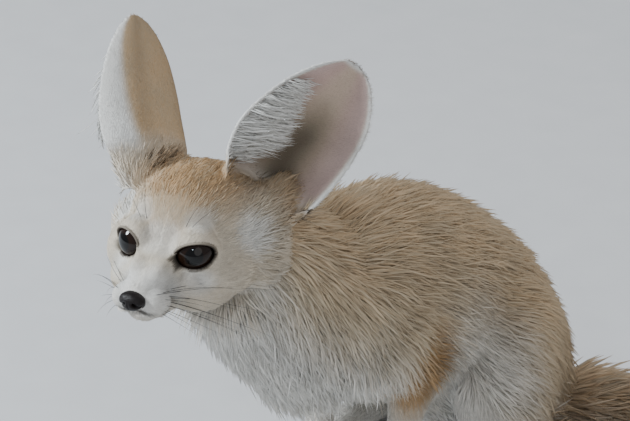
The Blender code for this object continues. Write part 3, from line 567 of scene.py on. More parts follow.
def mouth_lines(skin):
    """The two tubes of the mouth: the rolled lip to fuse on, and the line between the lips to cut."""
    bm = bmesh.new()
    bm.from_mesh(skin.data)
    tree = BVHTree.FromBMesh(bm)
    bm.free()
    half = smooth_run(MOUTH, 8)
    whole = [Vector((-p.x, p.y, p.z)) for p in reversed(half[1:])] + half
    found = {-1: [], 1: []}
    for point in whole:
        heart = HEAD @ (Vector((0, point.y + 8, point.z * 0.9)) * MM)
        way = (HEAD @ (point * MM) - heart).normalized()
        hit = tree.ray_cast(heart, way)[0] or HEAD @ (point * MM)
        found[1].append(hit - way * 0.5 * MM)
        found[-1].append(hit + way * 0.9 * MM)
    return tube("lips", found[1], 1.5 * MM), tube("line", found[-1], 0.8 * MM)


# %% Fuse on the lids and lips, cut the openings
def boolean_all(obj, tools, operation):
    """One Boolean with several tools, which then go."""
    group = bpy.data.collections.new("tools")
    for tool in tools:
        group.objects.link(tool)
    modifier = obj.modifiers.new("cut", "BOOLEAN")
    modifier.operation, modifier.operand_type, modifier.collection = operation, "COLLECTION", group
    modifier.solver = "MANIFOLD"
    apply_modifiers(obj)
    for tool in tools:
        bpy.data.objects.remove(tool)
    bpy.data.collections.remove(group)


def ear_pocket(side):
    """The hollow at the foot of an ear's cup."""
    foot, _, along, across, out = ear_frame(side)
    turn = Matrix((across, out, along)).transposed().to_4x4()
    turn.translation = (foot + out * 12 + along * 10) * MM
    return ball("pocket", (0, 0, 0), (13, 9, 22), HEAD @ turn)


lips, mouth_line = mouth_lines(skin)
lids = [tube("lids", lid_line(m, EYE_RADIUS + 0.8 * MM), 1.15 * MM, closed=True) for m in (1, -1)]
boolean_all(skin, [lips, *lids], "UNION")
sockets = [ball("socket", (EYE_PLACE[0] * m, *EYE_PLACE[1:]), [EYE_RADIUS / MM + 0.25] * 3, HEAD) for m in (1, -1)]
nose_socket = ball("nose_socket", NOSE_PLACE, [s + 0.2 for s in NOSE_SIZE], HEAD)
pockets = [ear_pocket(side) for side in EARS]
cuts = [mouth_line, nose_socket, *(lid_opening(m) for m in (1, -1)), *pockets]
boolean_all(skin, cuts, "DIFFERENCE")
boolean_all(skin, sockets, "DIFFERENCE")
print("skin with its openings:", len(skin.data.polygons), "faces")

# %% [markdown]
# ## Regions, lengths and the lie of the coat
# Hair has a length, a lift and a lie at every place, and none of these jump. So they are worked out for each
# vertex of the skin from soft regions that fade into each other, and kept as named attributes, which both the
# growing of the coat and the materials can read. The coat lies away from the nose on the face, down the
# throat and breast, back and down over the flanks, down the legs, and out to the tip of the tail.

# %% Keep only the largest closed surface, as triangles
def tidy_skin(obj):
    bm = bmesh.new()
    bm.from_mesh(obj.data)
    bmesh.ops.triangulate(bm, faces=bm.faces)
    bm.verts.ensure_lookup_table()
    left, best = set(bm.verts), set()
    while left:
        front = [left.pop()]
        piece = set(front)
        while front:
            for edge in front.pop().link_edges:
                for other in edge.verts:
                    if other in left:
                        left.discard(other)
                        piece.add(other)
                        front.append(other)
        best = max(best, piece, key=len)
    bmesh.ops.delete(bm, geom=[v for v in bm.verts if v not in best], context="VERTS")
    bm.to_mesh(obj.data)
    bm.free()
    obj.data.polygons.foreach_set("use_smooth", np.ones(len(obj.data.polygons), bool))
    obj.vertex_groups.clear()


tidy_skin(skin)
points, normals = points_of(skin.data), normals_of(skin.data)
part = regions(points)
body, face = part["body"], part["face"]
print("skin:", len(skin.data.polygons), "triangles")


# %% Which way the coat lies
def turned(vectors, matrix):
    return vectors @ np.array(matrix.to_3x3()).T


def unit(vectors):
    return vectors / np.maximum(np.linalg.norm(vectors, axis=1), 1e-9)[:, None]


def inner_side(side):
    """1 on the hollow side of an ear's wall, 0 on its back."""
    share, v, off, near = part["ears"][side]
    _, _, _, across, out = ear_frame(side)
    turn = v * np.radians(np.interp(share, EAR_ROWS[:, 0], EAR_ROWS[:, 3]))
    toward = np.outer(np.sin(turn), across) - np.outer(np.cos(turn), out)
    inward = -(turned(normals, HEAD.inverted()) * toward).sum(axis=1)
    return near * ramp(inward, -0.2, 0.2) * (1 - ramp(off, 1.2, 2.2))


def lie_on_ear(side):
    """Up the back of the ear, and over the hollow from the front edge."""
    _, _, along, across, out = (np.array(x) for x in ear_frame(side))
    _, v, _, _ = part["ears"][side]
    up = np.tile(along + 0.25 * across, (len(v), 1))
    return turned(blend(up, inner_side(side)[:, None], across + 0.5 * along), HEAD)


def lie_of_coat():
    count = len(points)
    lie = np.tile((0, 1, -0.62), (count, 1)).astype(float)
    rump = ramp(body[:, 1], 120, 175)[:, None]
    lie = blend(lie, rump, np.array((0, 0.5, -1)))
    thigh = ramp(np.abs(body[:, 0]), 40, 58) * ramp(body[:, 1], 50, 72)
    outward = np.column_stack([np.sign(body[:, 0]) * 0.6, np.full(count, 0.75), np.full(count, -0.9)])
    lie = blend(lie, thigh[:, None], outward)
    on_top = ramp(normals[:, 2], 0.2, 0.75)[:, None]
    down = blend(np.tile((0, 0.42, -1.0), (count, 1)), on_top, np.array((0, 1, -0.35)))
    lie = blend(lie, part["front"][:, None], down)
    lie = blend(lie, part["foreleg"][:, None], np.array((0, 0.22, -1)))
    away = unit(face - (0, -50, -12)) + np.array((0, 0.2, 0))
    away[:, 2] -= 0.55 * ramp(np.abs(face[:, 0]), 16, 34) * ramp(face[:, 1], 8, 40) * ramp(-face[:, 2], -8, 12)
    lie = blend(lie, part["head"][:, None], turned(away, HEAD))
    lie = blend(lie, part["paw"][:, None], np.array((0, -1, -0.35)))
    lie = blend(lie, part["tail"][:, None], part["tail_way"])
    for side in EARS:
        lie = blend(lie, part["ears"][side][3][:, None], lie_on_ear(side))
    lie -= normals * (lie * normals).sum(axis=1)[:, None]
    return unit(lie)


# %% How long it is, and how much it lifts
def coat_length():
    """Length of the hair at each vertex, in millimetres."""
    on_face = np.interp(face[:, 1], (-42, -30, -14, 6, 26, 46), (1.6, 2.2, 3.2, 5, 8, 12))
    ruff = ramp(np.abs(face[:, 0]), 20, 36) * ramp(face[:, 1], 14, 40) * ramp(-face[:, 2], -16, 2)
    on_face = blend(on_face, ruff, 14)
    on_face = blend(on_face, 1 - ramp(lid_gap, 1.5, 7), 2.4)
    length = np.full(len(points), 22.0)
    for share, other in (
        ("foreleg", 9), ("front", 25), ("head", on_face), ("paw", 4.5), ("tail", 34 - 8 * part["tail_share"]),
    ):
        length = blend(length, part[share], other)
    for side in EARS:
        share, v, off, near = part["ears"][side]
        on_back = 4.2 - 2.2 * ramp(np.abs(v), 0.75, 0.95)
        length = blend(length, near, blend(on_back, inner_side(side), 3.0))
        by_wall = ramp(off, -7, -3) * (1 - ramp(off, 0, 1.5)) * (1 - ramp(np.abs(v), 0.9, 1.1))
        length = blend(length, by_wall * ramp(share, -0.3, -0.12) * (1 - ramp(share, 0.9, 1)), 3.0)
    return length


def coat_lift():
    """How much the hair lifts at its root, in radians."""
    lift = np.full(len(points), 0.38)
    ruff = ramp(np.abs(face[:, 0]), 20, 36) * ramp(face[:, 1], 14, 40)
    for share, other in (
        ("foreleg", 0.16), ("front", 0.4), ("head", 0.14 + 0.16 * ruff), ("paw", 0.1), ("tail", 0.42), ("ear", 0.1),
    ):
        lift = blend(lift, part[share], other)
    return lift


def from_lids():
    """Distance in millimetres of each vertex from the edge of the nearer pair of lids."""
    nearest = np.full(len(points), 99.0)
    close = np.linalg.norm(face - (0, 8, 0), axis=1) < 40
    for mirror in (1, -1):
        line = np.array([list(p) for p in lid_line(mirror, EYE_RADIUS + 0.8 * MM, count=90)])
        gaps = np.linalg.norm(points[close][:, None] - line[None], axis=2).min(axis=1) / MM
        nearest[close] = np.minimum(nearest[close], gaps)
    return nearest


def bare_places():
    """1 where hair grows: not in the sockets, on the rims of the lids, round the nose pad or under the soles."""
    grow = ramp(body[:, 2], 1, 4) * ramp(lid_gap, 1.3, 1.8)
    for mirror in (1, -1):
        eye = (EYE_PLACE[0] * mirror, *EYE_PLACE[1:])
        grow *= ramp(np.linalg.norm(face - eye, axis=1), EYE_RADIUS / MM + 0.3, EYE_RADIUS / MM + 0.5)
    nose = np.linalg.norm((face - NOSE_PLACE) / (np.array(NOSE_SIZE) + 0.4), axis=1)
    return grow * ramp(nose, 1.0, 1.15)


lid_gap = from_lids()
lie, length, lift, grow = lie_of_coat(), coat_length(), coat_lift(), bare_places()
print("hair from", round(length.min(), 1), "to", round(length.max(), 1), "mm")

# %% [markdown]
# ## Markings
# A fennec is cream above and white below. Its crown, the backs of its ears and its elbows are redder, a brown
# line runs from each eye down the muzzle, and the tip of the tail is nearly black. The markings are soft
# shares too, from 0 to 1, so the skin and every tuft that grows on it can read the same ones.

# %% Shares of white, tan, dark and pink
def spot(places, middle, half_sizes, soft=0.5):
    """1 inside an ellipsoid, fading to 0 outside it."""
    gap = np.linalg.norm((places - middle) / np.array(half_sizes), axis=1)
    return 1 - ramp(gap, 1 - soft, 1 + soft)


def facing(x, y, z):
    """How much the skin faces this way, from -1 to 1."""
    way = np.array((x, y, z)) / math.sqrt(x * x + y * y + z * z)
    return normals @ way


def body_markings():
    """White below, cream above, a red elbow."""
    white = ramp(facing(0, -0.6, -0.8), -0.25, 0.6) * 0.9
    mirrored = np.column_stack([np.abs(body[:, 0]), body[:, 1], body[:, 2]])
    white = np.maximum(white, 0.75 * spot(mirrored, (60, 66, 108), (30, 24, 40), 0.7))
    tan = 0.32 * ramp(facing(0, 0.5, 0.8), -0.1, 0.8)
    elbow = spot(mirrored, (47, 28, 112), (18, 22, 34), 0.6)
    tan = np.maximum(tan, elbow)
    white = white * (1 - elbow * 0.9)
    white = blend(white, part["foreleg"], 0.7 * (1 - elbow))
    return blend(white, part["paw"], 0.85), tan * (1 - part["paw"])


def face_markings(mirrored):
    """White muzzle, cheeks and brows, a golden forehead and crown, and brown lines from the eyes."""
    wide, deep, high = mirrored.T
    white = np.full(len(points), 0.28)
    for share, middle, half_sizes in (
        (0.95, (6, -19, -17), (16, 17, 15)), (0.92, (19, 4, -14), (12, 14, 9)), (0.8, (17, 12, 14), (9, 10, 7)),
        (0.9, (37, 29, 4), (8, 11, 20)), (0.6, (4, 0, 6), (9, 16, 9)), (0.8, (6, 10, -34), (20, 26, 9)),
    ):
        white = np.maximum(white, share * spot(mirrored, middle, half_sizes, 0.55))
    golden = spot(mirrored, (2, 36, 24), (26, 30, 17), 0.6)
    streaks = spot(mirrored, (6, 12, 12), (7, 16, 9), 0.7)
    tan = np.maximum(golden * 0.9, streaks * 0.55)
    behind = ramp(deep, 40, 60) * ramp(high, -14, 4)
    tear = np.zeros(len(points))
    for t in np.linspace(0, 1, 8):
        middle = (7.0 + 5 * t, 1 - 14 * t, -4 - 9.5 * t)
        tear = np.maximum(tear, spot(mirrored, middle, (2.6, 3.4, 3), 0.8) * (0.4 - 0.2 * t))
    lips = spot(mirrored, (4, -28, -24), (7, 8, 1.3), 0.6)
    rims = np.maximum(1 - ramp(lid_gap, 0.9, 1.6), 0.9 * spot(mirrored, (9.8, -3.2, -1.5), (2.6, 3, 2), 0.5))
    inside = 1 - ramp(np.linalg.norm(mirrored - EYE_PLACE, axis=1), EYE_RADIUS / MM + 0.3, EYE_RADIUS / MM + 0.6)
    dark = np.maximum.reduce([tear, rims, inside, lips * 0.75])
    return white * (1 - 0.7 * behind) * (1 - 0.85 * golden), np.maximum(tan, behind * 0.5), dark


def spot_along(v, middle, wide):
    return np.exp(-(((v - middle) / wide) ** 2))


def ear_markings(side, marks):
    """Tan backs with white rims and pink hollows, with painted shade: brown in the depth of each hollow and along the
    backs.
    """
    share, v, off, near = part["ears"][side]
    inside = inner_side(side)
    rim = np.maximum(ramp(np.abs(v) + 0.08 * ramp(share, 0.6, 1), 0.86, 0.97), ramp(share, 0.95, 0.99))
    band = 1 - ramp(v, -0.9 + 0.3 * (1 - share), -0.76 + 0.36 * (1 - share))
    foot = 1 - ramp(share, 0.0, 0.2)
    # deep: painted shade, a brown darkening in the depth of the hollow where shade falls
    deep = inside * spot_along(v, 0.16, 0.34) * (1 - ramp(share, 0.4, 0.85)) * ramp(share, 0.02, 0.15)
    pink = inside * (1 - rim) * (1 - deep) * (0.5 + 0.5 * ramp(np.abs(v - 0.05), 0.1, 0.5)) * (1 - 0.8 * foot)
    white_in = np.maximum.reduce([rim, 0.35 * ramp(np.abs(v), 0.4, 0.8), 0.75 * foot])
    white_out = np.maximum.reduce([band, ramp(v, 0.86, 0.97), 0.3 * foot])
    # brown: painted shade along the back of the ear, where its edges lie in shadow
    brown = (1 - inside) * (spot_along(v, 0.68, 0.14) * 0.32 + spot_along(v, -0.42, 0.14) * 0.18)
    # dark carries the painted shade of the hollow's depth and of the backs
    values = (blend(white_out, inside, white_in), (1 - inside) * 0.5, np.maximum(deep * 0.8, brown * ramp(share, 0, 0.2)), pink * 0.68)
    return [blend(mark, near, value) for mark, value in zip(marks, values)]


def markings():
    mirrored = np.column_stack([np.abs(face[:, 0]), face[:, 1], face[:, 2]])
    white, tan = body_markings()
    white_face, tan_face, dark = face_markings(mirrored)
    white, tan = blend(white, part["head"], white_face), blend(tan, part["head"], tan_face)
    dark = dark * part["head"]
    tail = part["tail"]
    tip = ramp(part["tail_share"], 0.8, 0.9)
    white, tan = blend(white, tail, 0.1 + 0.3 * ramp(-body[:, 2], -26, -8)), blend(tan, tail, 0.45)
    dark = np.maximum(dark, tail * tip * 0.95)
    pink = np.zeros(len(points))
    for side in EARS:
        white, tan, dark, pink = ear_markings(side, (white, tan, dark, pink))
    return {"white": white, "tan": tan, "dark": dark, "pink": pink}


def add_attribute(mesh, name, values, kind="FLOAT"):
    field = "vector" if kind == "FLOAT_VECTOR" else "value"
    mesh.attributes.new(name, kind, "POINT").data.foreach_set(field, np.asarray(values, np.float32).ravel())


marks = markings()
for name, values in marks.items():
    add_attribute(skin.data, name, np.clip(values, 0, 1))
add_attribute(skin.data, "hair", length * MM)
add_attribute(skin.data, "lift", lift)
add_attribute(skin.data, "grow", grow)
add_attribute(skin.data, "lie", lie, "FLOAT_VECTOR")
add_attribute(skin.data, "up", normals, "FLOAT_VECTOR")
print("markings:", {name: round(float(values.mean()), 2) for name, values in marks.items()})

# %% [markdown]
# ## Colours of the coat
# The skin between the tufts and the tufts themselves must match, so both materials place the same node group.
# It mixes cream with the markings, and then varies the result: each tuft is a little lighter or darker than the
# next, roots are darker than tips as painted shade, and a slow noise gives the mottled look of a living coat.

# %% Helpers for node trees
def sock(tree, name, kind, value=None, way="INPUT"):
    made = tree.interface.new_socket(name=name, in_out=way, socket_type=kind)
    if value is not None:
        made.default_value = value
    return made


def node(tree, kind, settings=None, **inputs):
    """Adds a node; inputs are values or other nodes' sockets, by name with _ for a space, or by number as n0, n1."""
    made = tree.nodes.new(kind)
    for name, value in (settings or {}).items():
        setattr(made, name, value)
    for name, value in inputs.items():
        is_number = name[0] == "n" and name[1:].isdigit()
        target = made.inputs[int(name[1:]) if is_number else name.replace("_", " ")]
        if isinstance(value, bpy.types.NodeSocket):
            tree.links.new(value, target)
        else:
            target.default_value = value
    return made


def sum_of(tree, a, b, operation="MULTIPLY"):
    return node(tree, "ShaderNodeMath", {"operation": operation}, n0=a, n1=b).outputs[0]


def mixed(tree, share, a, b, way="MIX"):
    made = node(tree, "ShaderNodeMix", {"data_type": "RGBA", "blend_type": way}, n0=share, n6=a, n7=b)
    return made.outputs[2]


def srgb(red, green, blue):
    """A colour as a scene value, from the numbers of a colour picker."""
    return (*(((x / 255 + 0.055) / 1.055) ** 2.4 for x in (red, green, blue)), 1)


# %% The group that mixes the coat's colours
def coat_colours_group():
    tree = bpy.data.node_groups.new("coat_colours", "ShaderNodeTree")
    for name, value in (("White", 0.0), ("Tan", 0.0), ("Dark", 0.0), ("Pink", 0.0), ("Shade", 0.5), ("Tip", 1.0)):
        sock(tree, name, "NodeSocketFloat", value)
    sock(tree, "Color", "NodeSocketColor", way="OUTPUT")
    given = tree.nodes.new("NodeGroupInput").outputs
    where = node(tree, "ShaderNodeTexCoord").outputs["Object"]
    slow = node(tree, "ShaderNodeTexNoise", Vector=where, Scale=55.0, Detail=3.0).outputs["Fac"]
    streak = node(tree, "ShaderNodeMapRange", Value=given["Shade"], To_Min=0.15, To_Max=1.05).outputs[0]
    tan_share = sum_of(tree, given["Tan"], sum_of(tree, slow, streak, "ADD"))
    color = mixed(tree, tan_share, srgb(216, 199, 172), srgb(190, 154, 110))
    color = mixed(tree, given["White"], color, srgb(238, 236, 231))
    color = mixed(tree, given["Pink"], color, srgb(206, 171, 169))
    color = mixed(tree, given["Dark"], color, srgb(44, 33, 27))
    change = node(tree, "ShaderNodeMapRange", Value=given["Shade"], To_Min=0.86, To_Max=1.1).outputs[0]
    # painted shade: each tuft darkens towards its root, as if deep in the coat
    tips = node(tree, "ShaderNodeMapRange", Value=given["Tip"], To_Min=0.78, To_Max=1.04).outputs[0]
    mottle = node(tree, "ShaderNodeMapRange", Value=slow, From_Min=0.3, From_Max=0.7, To_Min=0.9, To_Max=1.08).outputs[0]
    light = sum_of(tree, sum_of(tree, change, tips), mottle)
    grey = node(tree, "ShaderNodeCombineColor", n0=light, n1=light, n2=light).outputs[0]
    color = mixed(tree, 1.0, color, grey, "MULTIPLY")
    tree.links.new(color, tree.nodes.new("NodeGroupOutput").inputs["Color"])
    return tree


COAT_COLOURS = coat_colours_group()


def new_material(name, **values):
    """A material with its own shader; constant values go straight on the shader's sockets."""
    material = bpy.data.materials.new(name)
    material.use_nodes = True
    tree = material.node_tree
    shader = tree.nodes["Principled BSDF"]
    for socket, value in values.items():
        shader.inputs[socket.replace("_", " ")].default_value = value
    return material, tree, shader


def attribute(tree, name):
    return node(tree, "ShaderNodeAttribute", {"attribute_name": name}).outputs["Fac"]


def coat_material(name, has_tufts):
    """Fur, or the skin under it: the same colours, with the tuft's own shade where there are tufts, and the skin
    darkened as painted shade.
    """
    material, tree, shader = new_material(name, Specular_IOR_Level=0.22)
    group = node(tree, "ShaderNodeGroup", {"node_tree": COAT_COLOURS})
    for mark in ("White", "Tan", "Dark", "Pink"):
        tree.links.new(attribute(tree, mark.lower()), group.inputs[mark])
    where = node(tree, "ShaderNodeTexCoord").outputs["Object"]
    fine = node(tree, "ShaderNodeTexNoise", Vector=where, Scale=1400.0, Detail=2.0).outputs["Fac"]
    if has_tufts:
        tree.links.new(attribute(tree, "shade"), group.inputs["Shade"])
        tree.links.new(attribute(tree, "tip"), group.inputs["Tip"])
    else:
        tree.links.new(fine, group.inputs["Shade"])
        # painted shade: the skin between the tufts is darker, as if deep under the coat
        group.inputs["Tip"].default_value = 0.35
    tree.links.new(group.outputs["Color"], shader.inputs["Base Color"])
    rough = node(tree, "ShaderNodeMapRange", Value=fine, To_Min=0.62, To_Max=0.85).outputs[0]
    tree.links.new(rough, shader.inputs["Roughness"])
    bump = node(tree, "ShaderNodeBump", Strength=0.35, Distance=0.0004, Height=fine)
    tree.links.new(bump.outputs[0], shader.inputs["Normal"])
    return material


fur, hide = coat_material("fur", True), coat_material("skin_under_fur", False)
skin.data.materials.clear()
skin.data.materials.append(hide)
print("materials:", fur.name, hide.name)

# %% [markdown]
# ## Tufts
# Fur could be hair particles, but those leave no mesh behind. Here a few short bent prisms stand for a lock
# of hairs each. They are one unit long, lie along +Y, arch up and come down again, and carry two attributes:
# how far along the tuft a point is, and on which side of it.

# %% Four tufts to pick from
def tuft(name, rings, arch, curl):
    """A closed three-sided lock through rings of (place along it, half width)."""
    bm = bmesh.new()
    loops = []
    for t, wide in rings:
        heart = Vector((curl * t * t, t, -arch * t * t))
        corners = (Vector((-wide, 0, 0)), Vector((wide, 0, 0)), Vector((0, 0, 0.055 * wide / 0.5)))
        loops.append([heart + c for c in corners])
    end = Vector((curl, 1, -arch))
    verts = [[bm.verts.new(p) for p in loop] for loop in loops]
    tip = bm.verts.new(end)
    for low, high in zip(verts, verts[1:]):
        for i in range(3):
            bm.faces.new((low[i], low[(i + 1) % 3], high[(i + 1) % 3], high[i]))
    for i in range(3):
        bm.faces.new((verts[-1][i], verts[-1][(i + 1) % 3], tip))
    bm.faces.new(verts[0][::-1])
    obj = scene_object(name, bm)
    sides = [s for _ in loops for s in (-1, 1, 0)] + [0]
    add_attribute(obj.data, "tip", [t for t, _ in rings for _ in range(3)] + [1])
    add_attribute(obj.data, "side", sides)
    obj.data.polygons.foreach_set("use_smooth", np.ones(len(obj.data.polygons), bool))
    bpy.context.scene.collection.objects.unlink(obj)
    return obj


def tuft_box(name, rings):
    box = bpy.data.collections.new(name)
    for i, (arch, curl) in enumerate(((0.2, 0.1), (0.26, -0.12), (0.14, 0.25), (0.22, -0.3))):
        box.objects.link(tuft(f"{name}_{i}", rings, arch, curl))
    return box


fine_tufts = tuft_box("fine_tuft", [(0, 0.5)])
short_tufts = tuft_box("short_tuft", [(0, 0.4), (0.5, 0.46)])
long_tufts = tuft_box("long_tuft", [(0, 0.34), (0.4, 0.5), (0.75, 0.34)])
print("a fine tuft has 4 triangles, a short one 10, a long one 16")

# %% [markdown]
# ## The tree that grows a coat
# Points are scattered over a piece of skin, never closer than the spacing. On each one a tuft stands in a frame
# whose Z is the skin's normal and whose Y is the lie there, bent a little by chance and by a slow noise that
# makes neighbours lean together, as real hair clumps. The lie, the length and the markings come from the skin.

# %% Geometry Nodes: grow a coat on a bed of skin
def growing_tree():
    tree = bpy.data.node_groups.new("grow_coat", "GeometryNodeTree")
    sock(tree, "Bed", "NodeSocketGeometry")
    sock(tree, "Tufts", "NodeSocketCollection")
    for name, value in (("Spacing", 0.0015), ("Width", 0.0015), ("Spread", 0.2), ("Clump", 0.5), ("Clump Size", 0.01)):
        sock(tree, name, "NodeSocketFloat", value)
    sock(tree, "Seed", "NodeSocketInt", 1)
    sock(tree, "Fur", "NodeSocketMaterial")
    sock(tree, "Coat", "NodeSocketGeometry", way="OUTPUT")
    given = tree.nodes.new("NodeGroupInput").outputs

    def named(name, kind="FLOAT"):
        return node(tree, "GeometryNodeInputNamedAttribute", {"data_type": kind}, Name=name).outputs["Attribute"]

    def chance(low, high, step, kind="FLOAT"):
        seed = node(tree, "ShaderNodeMath", {"operation": "ADD"}, n0=given["Seed"], n1=step).outputs[0]
        made = node(tree, "FunctionNodeRandomValue", {"data_type": kind}, Seed=seed)
        lows = [s for s in made.inputs if s.name == "Min" and s.enabled]
        highs = [s for s in made.inputs if s.name == "Max" and s.enabled]
        lows[0].default_value, highs[0].default_value = low, high
        return [s for s in made.outputs if s.enabled][0]

    def vector(operation, a, b):
        made = node(tree, "ShaderNodeVectorMath", {"operation": operation}, n0=a)
        target = made.inputs["Scale"] if operation == "SCALE" else made.inputs[1]
        if isinstance(b, bpy.types.NodeSocket):
            tree.links.new(b, target)
        else:
            target.default_value = b
        return made.outputs[0]

    most = node(tree, "ShaderNodeMath", {"operation": "DIVIDE"}, n0=2.5, n1=sum_of(tree, given["Spacing"], given["Spacing"]))
    scatter = node(
        tree, "GeometryNodeDistributePointsOnFaces", {"distribute_method": "POISSON"}, Mesh=given["Bed"],
        Distance_Min=given["Spacing"], Density_Max=most.outputs[0], Density_Factor=named("grow"), Seed=given["Seed"],
    )
    where = node(tree, "GeometryNodeInputPosition").outputs[0]
    pitch = node(tree, "ShaderNodeMath", {"operation": "DIVIDE"}, n0=1.0, n1=given["Clump Size"]).outputs[0]
    drift = node(tree, "ShaderNodeTexNoise", Vector=where, Scale=pitch, Detail=2.0).outputs["Color"]
    drift = vector("SCALE", vector("SUBTRACT", drift, (0.5, 0.5, 0.5)), sum_of(tree, given["Clump"], 2.0))
    jitter = vector("SCALE", chance((-1, -1, -1), (1, 1, 1), 1, "FLOAT_VECTOR"), given["Spread"])
    way = vector("ADD", vector("ADD", named("lie", "FLOAT_VECTOR"), drift), jitter)
    stand = node(
        tree, "FunctionNodeAxesToRotation", {"primary_axis": "Z", "secondary_axis": "Y"},
        Primary_Axis=scatter.outputs["Normal"], Secondary_Axis=way,
    ).outputs[0]
    rise = sum_of(tree, named("lift"), chance(0.6, 1.5, 2))
    tilt = node(tree, "FunctionNodeAxisAngleToRotation", Axis=(1, 0, 0), Angle=rise).outputs[0]
    roll = node(tree, "FunctionNodeAxisAngleToRotation", Axis=(0, 1, 0), Angle=chance(-0.6, 0.6, 3)).outputs[0]
    for turn in (tilt, roll):
        stand = node(tree, "FunctionNodeRotateRotation", {"rotation_space": "LOCAL"}, Rotation=stand, Rotate_By=turn).outputs[0]
    long = sum_of(tree, named("hair"), chance(0.7, 1.2, 4))
    wide = sum_of(tree, given["Width"], chance(0.7, 1.25, 5))
    size = node(tree, "ShaderNodeCombineXYZ", X=wide, Y=long, Z=long).outputs[0]
    tufts = node(tree, "GeometryNodeCollectionInfo", Collection=given["Tufts"], Separate_Children=True).outputs[0]
    grown = node(
        tree, "GeometryNodeInstanceOnPoints", Points=scatter.outputs["Points"], Instance=tufts, Pick_Instance=True,
        Instance_Index=chance(0, 3, 6, "INT"), Rotation=stand, Scale=size,
    )
    shaded = node(
        tree, "GeometryNodeStoreNamedAttribute", {"data_type": "FLOAT", "domain": "INSTANCE"},
        Geometry=grown.outputs[0], Name="shade", Value=chance(0.0, 1.0, 7),
    )
    real = node(tree, "GeometryNodeRealizeInstances", Geometry=shaded.outputs[0])
    done = node(tree, "GeometryNodeSetMaterial", Geometry=real.outputs[0], Material=given["Fur"])
    tree.links.new(done.outputs[0], tree.nodes.new("NodeGroupOutput").inputs[0])
    return tree


def set_inputs(modifier, **values):
    """Sets a tree's inputs by the names on its interface."""
    for item in modifier.node_group.interface.items_tree:
        if item.item_type == "SOCKET" and item.in_out == "INPUT" and item.name in values:
            modifier[item.identifier] = values[item.name]


def as_plain_mesh(obj, name):
    """What the modifiers of an object make, as a new object with a plain mesh."""
    evaluated = obj.evaluated_get(bpy.context.evaluated_depsgraph_get())
    mesh = bpy.data.meshes.new_from_object(evaluated)
    mesh.name = name
    made = bpy.data.objects.new(name, mesh)
    bpy.context.scene.collection.objects.link(made)
    return made


GROW = growing_tree()
print("growing tree:", len(GROW.nodes), "nodes")

# %% [markdown]
# ## Beds, and where each tuft takes its colour when the model is exported
# An exported model keeps its colours in a picture for each piece, so every tuft needs a small place of its own in
# it. The skin of each piece is unwrapped, and each tuft gets a tiny patch of the map where its root is.

# %% Cut a bed out of the skin, grow on it and lay out its map
PATCH = 0.003


def make_bed(name, share):
    """The part of the skin where share is over a half, unwrapped."""
    bm = bmesh.new()
    bm.from_mesh(skin.data)
    bm.verts.ensure_lookup_table()
    inside = share > 0.5
    bmesh.ops.delete(bm, geom=[v for v in bm.verts if not inside[v.index]], context="VERTS")
    mesh = bpy.data.meshes.new(name)
    bm.to_mesh(mesh)
    bm.free()
    bed = bpy.data.objects.new(name, mesh)
    bpy.context.scene.collection.objects.link(bed)
    mesh.uv_layers.new(name="root")
    bpy.context.view_layer.objects.active = bed
    bed.select_set(True)
    bpy.ops.object.mode_set(mode="EDIT")
    bpy.ops.mesh.select_all(action="SELECT")
    bpy.ops.uv.smart_project(angle_limit=math.radians(70), island_margin=0.004)
    bpy.ops.object.mode_set(mode="OBJECT")
    bed.select_set(False)
    fill_map(mesh)
    return bed


def fill_map(mesh):
    """Stretches the unwrap to fill the whole square."""
    flat = np.empty(len(mesh.loops) * 2, np.float32)
    mesh.uv_layers["root"].data.foreach_get("uv", flat)
    uv = flat.reshape(-1, 2)
    low, high = uv.min(axis=0), uv.max(axis=0)
    mesh.uv_layers["root"].data.foreach_set("uv", (0.005 + 0.99 * (uv - low) / (high - low)).ravel())


def lay_out(mesh, soften):
    """Writes the map OFBake, lifts tips off the floor, and turns the tufts' shading towards the skin's."""
    count = len(mesh.vertices)
    root = np.empty(count * 2, np.float32)
    mesh.attributes["root"].data.foreach_get("vector", root)
    tip, side = np.empty(count, np.float32), np.empty(count, np.float32)
    mesh.attributes["tip"].data.foreach_get("value", tip)
    mesh.attributes["side"].data.foreach_get("value", side)
    places = root.reshape(-1, 2) + np.column_stack([side * PATCH / 2, (tip - 0.5) * PATCH])
    corners = np.empty(len(mesh.loops), np.int32)
    mesh.loops.foreach_get("vertex_index", corners)
    for name in ("root", "side", "hair", "lift", "grow", "lie"):
        mesh.attributes.remove(mesh.attributes[name])
    spots = points_of(mesh)
    floor = 0.4 * MM * (1 + tip)
    spots[:, 2] = np.where(spots[:, 2] < floor, floor + 0.02 * (floor - spots[:, 2]), spots[:, 2])
    mesh.vertices.foreach_set("co", spots.astype(np.float32).ravel())
    mesh.update()
    up = np.empty(count * 3, np.float32)
    mesh.attributes["up"].data.foreach_get("vector", up)
    mesh.attributes.remove(mesh.attributes["up"])
    soft = unit(blend(normals_of(mesh), soften, up.reshape(-1, 3)))
    mesh.normals_split_custom_set_from_vertices(soft.astype(np.float32))
    mesh.uv_layers.new(name="OFBake").data.foreach_set("uv", np.clip(places, 0, 1)[corners].ravel())
    return places.max(axis=0) - places.min(axis=0)


def grow_coat(name, share, tufts, spacing, width, spread=0.25, clump=0.35, clump_size=9.0, seed=1, soften=0.6):
    """Grows one piece of the coat; sizes in millimetres."""
    bed = make_bed("bed", share)
    modifier = bed.modifiers.new("grow", "NODES")
    modifier.node_group = GROW
    set_inputs(
        modifier, Tufts=tufts, Spacing=spacing * MM, Width=width * MM, Spread=spread, Clump=clump,
        **{"Clump Size": clump_size * MM}, Seed=seed, Fur=fur,
    )
    piece = as_plain_mesh(bed, name)
    bpy.data.objects.remove(bed)
    span = lay_out(piece.data, soften)
    triangles = sum(len(p.vertices) - 2 for p in piece.data.polygons)
    print(f"{name}: {triangles} triangles, map {span[0]:.2f} by {span[1]:.2f}")
    coat.append(piece)
    return piece


